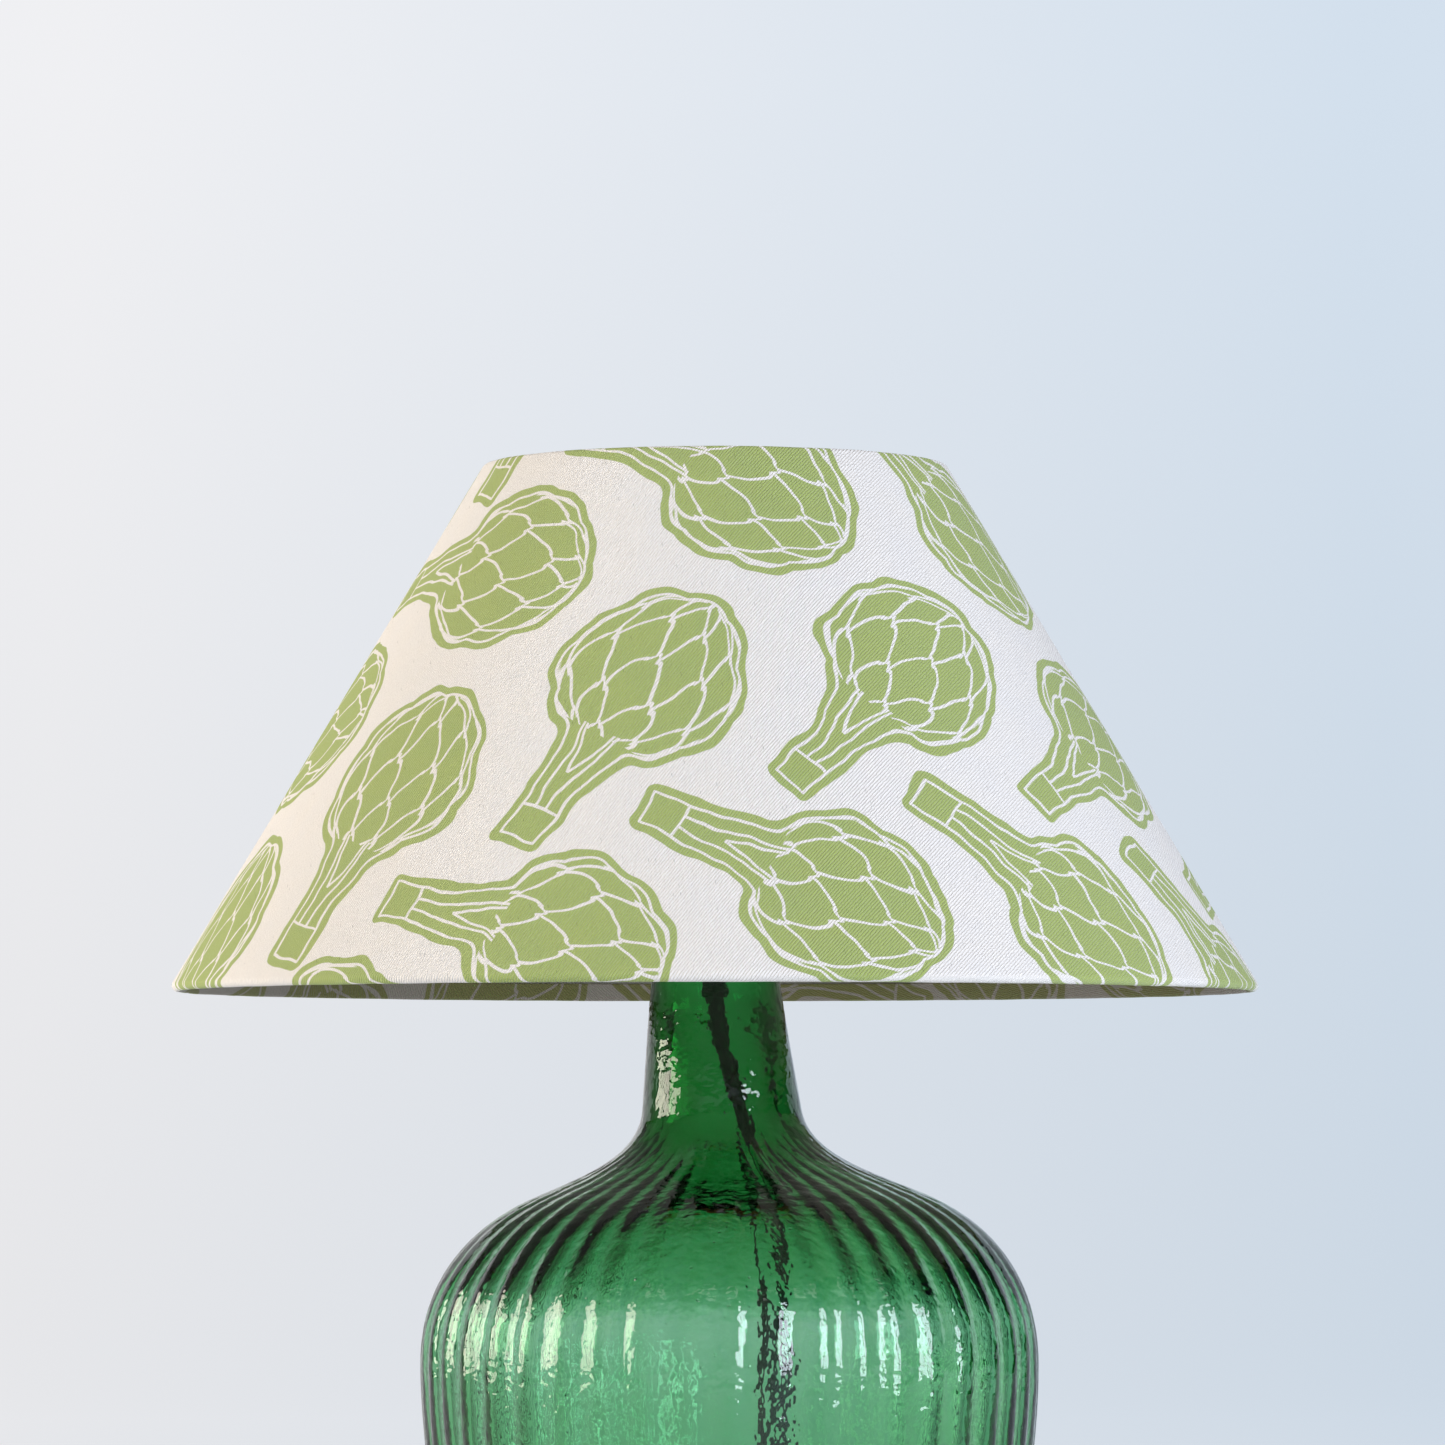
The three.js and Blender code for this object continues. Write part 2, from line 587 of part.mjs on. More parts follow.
// Out of the grommet, round to the left and down to the table, then along the back towards the coil.
function leadRoute(start) {
  const quarter = (Math.PI / 2) * lead.bend;
  const end = coil.x + besideCoil(start + lead.straight + lead.bend - coil.y);
  const length = lead.straight + quarter + blown.lean - lead.bend - end;
  const steps = 16;
  const route = [];
  for (let i = 1; i <= steps; i++) {
    const gone = (length * i) / steps;
    const turnedBy = Math.min(Math.max((gone - lead.straight) / lead.bend, 0), Math.PI / 2);
    const forward = Math.min(gone, lead.straight) + lead.bend * Math.sin(turnedBy);
    const left = lead.bend * (1 - Math.cos(turnedBy)) + Math.max(gone - lead.straight - quarter, 0);
    const fallen = (1 - Math.cos(Math.PI * Math.min(gone / lead.drop, 1))) / 2;
    route.push([blown.lean - left, start + forward, cordHole.height - fallen * (cordHole.height - cordRadius)]);
  }
  return route;
}

// From the coil's upper turn into the plug.
const tailRoute = [[coil.x - coil.outerTurn, coil.y - besideCoil(coil.outerTurn), 10.6], [-175.1, 75, 10.3], [-175.4, 66, 10.3], [-176, 57, 10.5], [-177.4, 46.2, 10.5],
  [-178.9, 35.6, 10.5]];

function cords() {
  const face = grommetFaces();
  const meet = [blown.lean, (face.outer + face.inner) / 2, cordHole.height];
  const route = [...innerRoute, [blown.lean, face.inner - cordHole.flangeThickness, cordHole.height], meet];
  add("inner_flex", roundBar(route, cordRadius, 46), finish.braid);
  const leadStart = [blown.lean, meet[1] + gap, cordHole.height];
  add("cord_lead", roundBar([leadStart, ...leadRoute(face.outer + cordHole.flangeThickness)], cordRadius, 26), finish.braid);
  add("cord_tail", roundBar(tailRoute, cordRadius, 6), finish.braid);

  const height = 2 * cordRadius * coil.layers + 0.1;
  const inner = coil.innerTurn - cordRadius;
  const outer = coil.outerTurn + cordRadius;
  const ring = turned([[inner, 1.5], [inner + 1.5, 0], [outer - 1.5, 0], [outer, 1.5], [outer, height - 1.5],
    [outer - 1.5, height], [inner + 1.5, height], [inner, height - 1.5]], 40);
  add("cord_coil", ring, finish.braid).position.set(coil.x, coil.y, 0);
}

// A moulded three-pin plug lying on its back, with its pins up and the cord entering at its lower edge.
function mainsPlug() {
  const group = new THREE.Group();
  const put = (name, geometry, material) => {
    const mesh = new THREE.Mesh(geometry, material);
    mesh.name = name;
    group.add(mesh);
  };
  const { width, length, height, corner } = plug;
  const pinFloor = height - 6;
  const pinHoles = [];
  const pinPieces = [];
  const lineY = -6;
  const places = [
    ["plug_pin_line", -pins.lineSpacing / 2, lineY, pins.lineWidth, pins.thick, pins.line],
    ["plug_pin_neutral", pins.lineSpacing / 2, lineY, pins.lineWidth, pins.thick, pins.line],
    ["plug_pin_earth", 0, lineY + pins.earthAway, pins.thick, pins.earthWidth, pins.earth],
  ];
  for (const [name, x, y, wide, deep, reach] of places) {
    const hole = new THREE.BoxGeometry(wide + 2 * gap, deep + 2 * gap, height);
    pinHoles.push(hole.translate(x, y, pinFloor - gap + height / 2));
    const pin = new THREE.BoxGeometry(wide, deep, reach + height - pinFloor);
    pinPieces.push([name, pin.translate(x, y, (height + reach + pinFloor) / 2)]);
  }
  const fuse = { width: 9, length: 26, depth: 5 };
  const fuseY = lineY + 1;
  const fuseHole = new THREE.BoxGeometry(fuse.width + 2 * gap, fuse.length / 2 + 2 * gap, height);
  pinHoles.push(fuseHole.translate(0, fuseY, height - fuse.depth - gap + height / 2));
  const body = standing(roundedRectangle(width, length, corner), 0, height, 5);
  put("plug_body", cut(body, ...pinHoles), finish.plastic);
  put("fuse_carrier", new THREE.BoxGeometry(fuse.width, fuse.length / 2, fuse.depth)
    .translate(0, fuseY, height - fuse.depth / 2), finish.fuseRed);
  for (const [name, geometry] of pinPieces) put(name, geometry, finish.brass);

  const relief = { length: 22, wide: 5.4, narrow: 4.4 };
  const entry = height / 2;
  const bore = cordRadius + gap;
  const sleeve = turned([[bore, 0], [relief.wide, 0], [relief.narrow, relief.length], [bore, relief.length]], 16);
  put("plug_strain_relief", sleeve.rotateX(Math.PI / 2).translate(0, -length / 2 - gap, entry), finish.plastic);
  group.position.set(plug.x, plug.y, 0);
  group.rotation.z = degToRad(plug.turn);
  lamp.add(group);
}

bottleAndFeet();
cordGrommet();
neckFittings();
lampholder();
switchKey();
lightBulb();
shadeCarrier();
shadeFrame();
shadeCloth();
cords();
mainsPlug();

export default lamp;
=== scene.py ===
import bpy
import math
from mathutils import Euler, Matrix, Vector, noise


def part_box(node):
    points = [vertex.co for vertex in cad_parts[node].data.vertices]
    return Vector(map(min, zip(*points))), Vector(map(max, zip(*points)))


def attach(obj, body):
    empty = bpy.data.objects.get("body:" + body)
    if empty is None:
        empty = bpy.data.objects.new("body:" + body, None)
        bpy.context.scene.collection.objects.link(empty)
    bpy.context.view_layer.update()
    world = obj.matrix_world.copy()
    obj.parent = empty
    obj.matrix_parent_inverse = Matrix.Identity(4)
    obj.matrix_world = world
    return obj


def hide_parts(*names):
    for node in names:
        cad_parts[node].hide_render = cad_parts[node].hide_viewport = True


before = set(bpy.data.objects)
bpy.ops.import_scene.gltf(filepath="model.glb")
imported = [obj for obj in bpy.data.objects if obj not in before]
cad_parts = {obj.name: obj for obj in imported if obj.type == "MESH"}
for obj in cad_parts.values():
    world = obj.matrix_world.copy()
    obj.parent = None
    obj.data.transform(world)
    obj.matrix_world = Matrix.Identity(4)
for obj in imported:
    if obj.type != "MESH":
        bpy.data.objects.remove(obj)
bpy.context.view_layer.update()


def deselectAll():
    for each in bpy.context.selected_objects:
        each.select_set(False)


def makeActive(piece):
    deselectAll()
    piece.select_set(True)
    bpy.context.view_layer.objects.active = piece


# an sRGB hex value, as the eye sees it, to the linear colour that a shader takes
def linear(colour):
    channels = [int(colour[i:i + 2], 16) / 255 for i in (0, 2, 4)]
    return [c / 12.92 if c <= 0.04045 else ((c + 0.055) / 1.055) ** 2.4 for c in channels] + [1.0]


def addNode(tree, kind, inputs=None, into=None, **settings):  # into is the socket that its first output feeds
    made = tree.nodes.new(kind)
    for name, value in settings.items():
        setattr(made, name, value)
    for key, value in (inputs or {}).items():
        if isinstance(value, bpy.types.NodeSocket):
            tree.links.new(value, made.inputs[key])
        else:
            made.inputs[key].default_value = value
    if into:
        tree.links.new(made.outputs[0], into)
    return made


# each step is a result's name, a math operation and what goes into it, by name or as a number
def calculate(tree, values, steps):
    for name, operation, *operands in steps:
        inputs = {i: values[x] if isinstance(x, str) else x for i, x in enumerate(operands)}
        values[name] = addNode(tree, "ShaderNodeMath", inputs, operation=operation).outputs[0]


def newMaterial(name, inputs):
    material = bpy.data.materials.new(name)
    material.use_nodes = True
    tree = material.node_tree
    shader = tree.nodes["Principled BSDF"]
    for key, value in inputs.items():
        shader.inputs[key].default_value = value
    return material, tree, shader


# the points after the first, along a curve in a plane
def bezier(start, startPull, endPull, end, steps):
    made = []
    for i in range(1, steps + 1):
        t = i / steps
        weights = ((1 - t) ** 3, 3 * t * (1 - t) ** 2, 3 * t * t * (1 - t), t ** 3)
        corners = (start, startPull, endPull, end)
        made.append(tuple(sum(w * p[axis] for w, p in zip(weights, corners)) for axis in (0, 1)))
    return made


def eased(edge0, edge1, x):
    t = min(max((x - edge0) / (edge1 - edge0), 0), 1)
    return t * t * (3 - 2 * t)


# rounds each corner of a closed outline that doesn't lie on the axis
def softened(profile, radius, steps=3):
    made = []
    count = len(profile)
    for i in range(count):
        before, here, after = (Vector(profile[(i + k) % count]) for k in (-1, 0, 1))
        reach = min(radius, (before - here).length * 0.45, (after - here).length * 0.45)
        if here.x < 1e-6 or reach < 1e-4:
            made.append(tuple(here))
            continue
        start = here + (before - here).normalized() * reach
        end = here + (after - here).normalized() * reach
        for k in range(steps + 1):
            t = k / steps
            made.append(tuple(start * (1 - t) ** 2 + here * (2 * t * (1 - t)) + end * t * t))
    return made


# an outline of radius and height in mm, pulled out of one vertex and spun
def spun(name, profile, steps=64):
    points = [Vector((r / 1000, 0, z / 1000)) for r, z in profile]
    if profile[0][0] > 1e-6 or profile[-1][0] > 1e-6:
        points.append(points[0])
    deselectAll()
    bpy.ops.mesh.primitive_plane_add(size=0.001)
    piece = bpy.context.object
    piece.name = name
    bpy.ops.object.mode_set(mode="EDIT")
    bpy.ops.mesh.select_mode(type="VERT")
    bpy.ops.mesh.merge(type="CENTER")
    bpy.ops.transform.translate(value=points[0])
    for here, there in zip(points, points[1:]):
        bpy.ops.mesh.extrude_region_move(TRANSFORM_OT_translate={"value": there - here})
    bpy.ops.mesh.select_all(action="SELECT")
    bpy.ops.mesh.remove_doubles(threshold=1e-6)
    bpy.ops.mesh.spin(steps=steps, angle=2 * math.pi, center=(0, 0, 0), axis=(0, 0, 1))
    bpy.ops.mesh.select_all(action="SELECT")
    bpy.ops.mesh.remove_doubles(threshold=2e-6)
    bpy.ops.mesh.normals_make_consistent(inside=False)
    bpy.ops.object.mode_set(mode="OBJECT")
    return piece


def moved(piece, place, turn=(0, 0, 0)):  # place in mm, turn in degrees, both into the mesh
    turned = Euler([math.radians(a) for a in turn]).to_matrix().to_4x4()
    piece.data.transform(Matrix.Translation(Vector(place) / 1000) @ turned)
    return piece


def block(name, low, high, bevel=0.4, segments=3):  # a bevelled block between two corners, in mm
    deselectAll()
    size = [(b - a) / 1000 for a, b in zip(low, high)]
    middle = [(a + b) / 2000 for a, b in zip(low, high)]
    bpy.ops.mesh.primitive_cube_add(size=1, location=middle, scale=size)
    piece = bpy.context.object
    piece.name = name
    bpy.ops.object.transform_apply(location=True, rotation=True, scale=True)
    if bevel:
        applyModifier(piece, "BEVEL", width=bevel / 1000, segments=segments)
    return piece


# a bar along Z between two heights, then turned and placed
def cutter(radius, low, high, sides=48, turn=(0, 0, 0), place=(0, 0, 0)):
    deselectAll()
    bpy.ops.mesh.primitive_cylinder_add(vertices=sides, radius=radius / 1000, depth=(high - low) / 1000,
                                        location=(0, 0, (low + high) / 2000))
    piece = bpy.context.object
    bpy.ops.object.transform_apply(location=True, rotation=True, scale=True)
    return moved(piece, place, turn)


def cutAway(piece, *tools):
    for tool in tools:
        applyModifier(piece, "BOOLEAN", operation="DIFFERENCE", solver="MANIFOLD", object=tool)
        bpy.data.objects.remove(tool)
    return piece


def joinPieces(first, *others):
    deselectAll()
    for each in (first, *others):
        each.select_set(True)
    bpy.context.view_layer.objects.active = first
    bpy.ops.object.join()
    return first


# a smooth curve with a round section, its path in mm
def wire(name, path, radius, closed=False, sides=3, finer=4):
    curve = bpy.data.curves.new(name, "CURVE")
    curve.dimensions = "3D"
    curve.bevel_depth = radius / 1000
    curve.bevel_resolution = sides
    curve.use_fill_caps = not closed
    curve.resolution_u = curve.render_resolution_u = finer
    spline = curve.splines.new("BEZIER")
    spline.bezier_points.add(len(path) - 1)
    for point, place in zip(spline.bezier_points, path):
        point.co = [c / 1000 for c in place]
        point.handle_left_type = point.handle_right_type = "AUTO"
    spline.use_cyclic_u = closed
    piece = bpy.data.objects.new(name, curve)
    bpy.context.scene.collection.objects.link(piece)
    return piece


def circle(radius, height, count=24):
    angles = [2 * math.pi * i / count for i in range(count)]
    return [(radius * math.cos(a), radius * math.sin(a), height) for a in angles]


def applyModifier(piece, kind, **settings):
    makeActive(piece)
    modifier = piece.modifiers.new(kind.title(), kind)
    for name, value in settings.items():
        setattr(modifier, name, value)
    bpy.ops.object.modifier_apply(modifier=modifier.name)


def finishPiece(piece, material, body="lamp", replaces=(), angle=35):
    if piece.type == "MESH":
        makeActive(piece)
        bpy.ops.object.shade_smooth_by_angle(angle=math.radians(angle))
    piece.data.materials.clear()
    piece.data.materials.append(material)
    if replaces:
        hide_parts(*replaces)
    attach(piece, body)
    return piece


view = {"lens": 186.5, "distance": 3.110, "height": 0.2735, "aside": 0.0031, "pitch": 3.104}

bpy.ops.object.camera_add(location=(view["aside"], -view["distance"], view["height"]),
                          rotation=(math.radians(90 + view["pitch"]), 0, 0))
camera = bpy.context.object
camera.data.lens = view["lens"]
camera.data.clip_end = 60
bpy.context.scene.camera = camera

studio = {
    "wallAt": 5.6, "wallHeight": 5.0, "sweep": 1.6, "halfWidth": 9.0, "front": -7.0, "paperGlow": 0.93,
    "lights": {
        "leftWindow": {"place": (-2.25, -0.1, 0.72), "size": (1.9, 1.2), "panes": 3, "power": 50,
                       "colour": "fff3e4"},
        "rightWindow": {"place": (1.75, -1.55, 0.76), "size": (1.05, 1.4), "panes": 2, "power": 50,
                        "colour": "e8efff"},
        "overhead": {"place": (0.1, -1.6, 3.0), "size": (2.6, 1.6), "panes": 1, "power": 24,
                     "colour": "fffdfb"},
    },
    "left": "94918e", "right": "3e404c", "behind": "bcc0c8", "paleRoom": "dfe4ea",
}


def addBackdrop(s):
    outline = [(s["front"], 0.0), (s["wallAt"] - s["sweep"], 0.0)]
    for i in range(1, 13):
        a = math.radians(90 * i / 12)
        outline.append((s["wallAt"] - s["sweep"] + s["sweep"] * math.sin(a), s["sweep"] * (1 - math.cos(a))))
    outline.append((s["wallAt"], s["wallHeight"]))
    points = [(x, y, z) for y, z in outline for x in (-s["halfWidth"], s["halfWidth"])]
    faces = [(2 * i, 2 * i + 1, 2 * i + 3, 2 * i + 2) for i in range(len(outline) - 1)]
    mesh = bpy.data.meshes.new("backdrop")
    mesh.from_pydata(points, [], faces)
    backdrop = bpy.data.objects.new("backdrop", mesh)
    bpy.context.scene.collection.objects.link(backdrop)
    makeActive(backdrop)
    bpy.ops.object.shade_smooth()
    # matt paper that glows with painted light: brighter and warmer to the left, cooler to the right
    material, tree, shader = newMaterial("backdrop paper with painted light", {"Roughness": 0.9, "Specular IOR Level": 0.1})
    shader.inputs["Base Color"].default_value = linear("4a4c50")
    place = addNode(tree, "ShaderNodeTexCoord").outputs["Object"]
    axes = addNode(tree, "ShaderNodeSeparateXYZ", {0: place})
    share = addNode(tree, "ShaderNodeMapRange", {"Value": axes.outputs["X"], "From Min": -0.75,
                                                 "From Max": 0.75})
    # painted shade: the glow is a little dimmer towards the floor
    addNode(tree, "ShaderNodeMapRange", {
        "Value": axes.outputs["Z"], "From Min": 0.0, "From Max": 1.5, "To Min": 0.93 * s["paperGlow"],
        "To Max": 1.02 * s["paperGlow"]}, into=shader.inputs["Emission Strength"])
    paintedLightTint = addNode(tree, "ShaderNodeMix", {0: share.outputs[0], 6: linear("f0f0f2"), 7: linear("d2dfec")},
                   data_type="RGBA")
    tree.links.new(paintedLightTint.outputs[2], shader.inputs["Emission Color"])
    # clear from behind and from below, so that it never hides the lamp
    facing = addNode(tree, "ShaderNodeNewGeometry").outputs["Backfacing"]
    clear = addNode(tree, "ShaderNodeBsdfTransparent").outputs[0]
    addNode(tree, "ShaderNodeMixShader", {0: facing, 1: shader.outputs[0], 2: clear},
            into=tree.nodes["Material Output"].inputs["Surface"])
    mesh.materials.append(material)


def addLights(lights):  # each in upright panes, with the bars between them dark
    for name, spec in lights.items():
        place = Vector(spec["place"])
        aim = (Vector((0, 0, 0.3)) - place).to_track_quat("-Z", "Y")
        pane = spec["size"][0] / spec["panes"]
        for i in range(spec["panes"]):
            aside = aim @ Vector(((i - (spec["panes"] - 1) / 2) * pane, 0, 0))
            bpy.ops.object.light_add(type="AREA", location=place + aside, rotation=aim.to_euler())
            lamp = bpy.context.object
            lamp.name = name + str(i + 1)
            lamp.data.shape = "RECTANGLE"
            lamp.data.size, lamp.data.size_y = pane * (0.86 if spec["panes"] > 1 else 1), spec["size"][1]
            lamp.data.energy = spec["power"] / spec["panes"]
            lamp.data.color = linear(spec["colour"])[:3]
            lamp.visible_camera = False


def addRoom(s):
    # dim at both sides, which gives the glass its dark edges, lighter beyond the front, pale where it shows
    world = bpy.data.worlds.new("room")
    world.use_nodes = True
    tree = world.node_tree
    way = addNode(tree, "ShaderNodeTexCoord").outputs["Generated"]
    towards = addNode(tree, "ShaderNodeSeparateXYZ", {0: way})
    front = addNode(tree, "ShaderNodeMapRange", {"Value": towards.outputs["Y"], "From Min": -0.72,
                                                 "From Max": -0.95})
    across = addNode(tree, "ShaderNodeMapRange", {"Value": towards.outputs["X"], "From Min": -0.5,
                                                  "From Max": 0.5})
    side = addNode(tree, "ShaderNodeMix", {0: across.outputs[0], 6: linear(s["left"]), 7: linear(s["right"])},
                   data_type="RGBA")
    dim = addNode(tree, "ShaderNodeMix", {0: front.outputs[0], 6: side.outputs[2], 7: linear(s["behind"])},
                  data_type="RGBA")
    direct = addNode(tree, "ShaderNodeLightPath").outputs["Is Camera Ray"]
    shown = addNode(tree, "ShaderNodeMix", {0: direct, 6: dim.outputs[2], 7: linear(s["paleRoom"])},
                    data_type="RGBA")
    tree.links.new(shown.outputs[2], tree.nodes["Background"].inputs["Color"])
    bpy.context.scene.world = world
    bpy.context.scene.view_settings.view_transform = "Standard"


addBackdrop(studio)
addLights(studio["lights"])
addRoom(studio)
print("studio set up")


def bottleGlass():
    # soda-lime glass, blown in a ribbed mould: deep green, clear, with soft waves and seeds in it
    material, tree, shader = newMaterial("blown green glass", {
        "Base Color": linear("ffffff"), "Roughness": 0.015, "IOR": 1.52, "Transmission Weight": 1.0})
    place = addNode(tree, "ShaderNodeTexCoord").outputs["Object"]
    # ripples 12 mm across, a peel of 4 mm from the mould, and bubbles of 1 mm
    waves = addNode(tree, "ShaderNodeTexNoise", {"Vector": place, "Scale": 85.0, "Detail": 1.0})
    peel = addNode(tree, "ShaderNodeTexNoise", {"Vector": place, "Scale": 260.0, "Detail": 1.0})
    seeds = addNode(tree, "ShaderNodeTexVoronoi", {"Vector": place, "Scale": 120.0, "Randomness": 1.0})
    dots = addNode(tree, "ShaderNodeMapRange", {"Value": seeds.outputs["Distance"], "From Min": 0.09,
                                                "From Max": 0.03, "To Min": 0.0, "To Max": 0.4})
    v = {"waves": waves.outputs[0], "peel": peel.outputs[0], "dots": dots.outputs[0]}
    v["inner"] = addNode(tree, "ShaderNodeAttribute", attribute_name="innerWall").outputs["Fac"]
    calculate(tree, v, [("rough", "MULTIPLY_ADD", "peel", 0.55, "waves"), ("full", "ADD", "rough", "dots"),
                        ("calm", "MULTIPLY_ADD", "inner", -0.8, 1.0), ("height", "MULTIPLY", "full", "calm")])
    addNode(tree, "ShaderNodeBump", {"Height": v["height"], "Distance": 0.0006, "Strength": 1.0},
            into=shader.inputs["Normal"])
    addNode(tree, "ShaderNodeVolumeAbsorption", {"Color": (0.02, 0.63, 0.24, 1), "Density": 240.0},
            into=tree.nodes["Material Output"].inputs["Volume"])
    return material


def opalGlass():
    # opal glass, blown: milky white all through, glossy, faintly uneven
    material, tree, shader = newMaterial("opal glass", {
        "Base Color": linear("f4f1ea"), "Roughness": 0.18, "IOR": 1.5, "Subsurface Weight": 0.3,
        "Subsurface Scale": 0.004})
    place = addNode(tree, "ShaderNodeTexCoord").outputs["Object"]
    uneven = addNode(tree, "ShaderNodeTexNoise", {"Vector": place, "Scale": 60.0, "Detail": 1.0})
    addNode(tree, "ShaderNodeBump", {"Height": uneven.outputs[0], "Distance": 0.0002, "Strength": 0.3},
            into=shader.inputs["Normal"])
    return material


def metal(name, colour, roughness, grain, stretch, specks=0.06):
    # a grain scale is one over the grain's width in metres, and stretch draws it out along Z
    material, tree, shader = newMaterial(name, {"Base Color": linear(colour), "Metallic": 1.0})
    place = addNode(tree, "ShaderNodeTexCoord").outputs["Object"]
    drawn = addNode(tree, "ShaderNodeMapping", {"Vector": place, "Scale": stretch})
    grains = addNode(tree, "ShaderNodeTexNoise", {"Vector": drawn.outputs[0], "Scale": grain, "Detail": 3.0})
    smudge = addNode(tree, "ShaderNodeTexNoise", {"Vector": place, "Scale": 70.0, "Detail": 3.0})
    both = addNode(tree, "ShaderNodeMath", {0: grains.outputs[0], 1: smudge.outputs[0]}, operation="MULTIPLY")
    addNode(tree, "ShaderNodeMapRange", {
        "Value": both.outputs[0], "From Min": 0.1, "From Max": 0.45, "To Min": roughness - specks,
        "To Max": roughness + specks}, into=shader.inputs["Roughness"])
    addNode(tree, "ShaderNodeBump", {"Height": grains.outputs[0], "Distance": 0.00004, "Strength": 0.5},
            into=shader.inputs["Normal"])
    return material


def plain(name, colour, roughness, grain, depth, extra=None):
    # one colour with a moulded or coated surface: grain is one over its width in metres
    material, tree, shader = newMaterial(name, {"Base Color": linear(colour), **(extra or {})})
    place = addNode(tree, "ShaderNodeTexCoord").outputs["Object"]
    grains = addNode(tree, "ShaderNodeTexNoise", {"Vector": place, "Scale": grain, "Detail": 3.0})
    wear = addNode(tree, "ShaderNodeTexNoise", {"Vector": place, "Scale": 45.0, "Detail": 4.0})
    addNode(tree, "ShaderNodeMapRange", {
        "Value": wear.outputs[0], "From Min": 0.3, "From Max": 0.7, "To Min": roughness * 0.8,
        "To Max": min(roughness * 1.2, 1.0)}, into=shader.inputs["Roughness"])
    addNode(tree, "ShaderNodeBump", {"Height": grains.outputs[0], "Distance": depth, "Strength": 1.0},
            into=shader.inputs["Normal"])
    return material


# the repeat of the print, in mm on the flat cloth, and the two ways a motif lies in it
printRepeat = {"width": 110.6, "height": 194.2, "turn": 9.6}
motifs = [
    {"centre": (-94.2, 312.8), "along": (0.739, -0.674), "slant": -0.3, "shift": 4.7, "seed": 1.7,
     "across": 4.6, "rows": 6.0},
    {"centre": (-36.9, 201.1), "along": (0.803, 0.597), "slant": 0.5, "shift": 6.2, "seed": 5.2,
     "across": 4.2, "rows": 6.6},
]
artichoke = {"halfWidth": 36.0, "halfLength": 38.5, "stemEnd": -88.0, "stemHalf": 7.8, "flare": 9.0,
             "margin": 3.9, "reach": 1.5, "lineHalf": 0.62}


# how far a point is from one row's pointed edges, with a few teeth at each tip
def bractSteps(tag, place, behind):
    reach = artichoke["reach"]
    steps = [
        ("_mid", "MULTIPLY_ADD", place, 2.0, -1.0),
        ("_side", "ABSOLUTE", "_mid"),
        ("_side4", "POWER", "_side", 4.0),
        ("_low", "MULTIPLY_ADD", "_side", -0.55, 1.0),
        ("_plain", "MULTIPLY_ADD", "_side4", -0.45, "_low"),
        ("_toothAt", "MULTIPLY_ADD", "_mid", 5.0, 20.4),
        ("_tooth", "PINGPONG", "_toothAt", 1.0),
        ("_toothNear", "MULTIPLY_ADD", "_side", -3.0, 1.0),
        ("_toothShare", "MAXIMUM", "_toothNear", 0.0),
        ("_toothLift", "MULTIPLY", "_tooth", "_toothShare"),
        ("_arch", "MULTIPLY_ADD", "_toothLift", -0.16, "_plain"),
        ("_side3", "POWER", "_side", 3.0),
        ("_steep", "MULTIPLY_ADD", "_side3", 1.8 * reach, 0.55 * reach),
        ("_slopeU", "DIVIDE", "_steep", "halfEach"),
        ("_slope2", "MULTIPLY_ADD", "_slopeU", "_slopeU", "slopeV2"),
        ("_slope", "SQRT", "_slope2"),
        ("_height", "MULTIPLY", "_arch", -reach),
        ("_from", "ADD", "f", behind),
        ("off", "ADD", "_from", "_height"),
        ("_size", "ABSOLUTE", "off" + tag),
        ("open", "DIVIDE", "_size", "_slope"),
    ]
    made = []
    for name, operation, *operands in steps:
        tagged = [x + tag if isinstance(x, str) and x[0] == "_" else x for x in operands]
        made.append((name + tag, operation, *tagged))
    return made


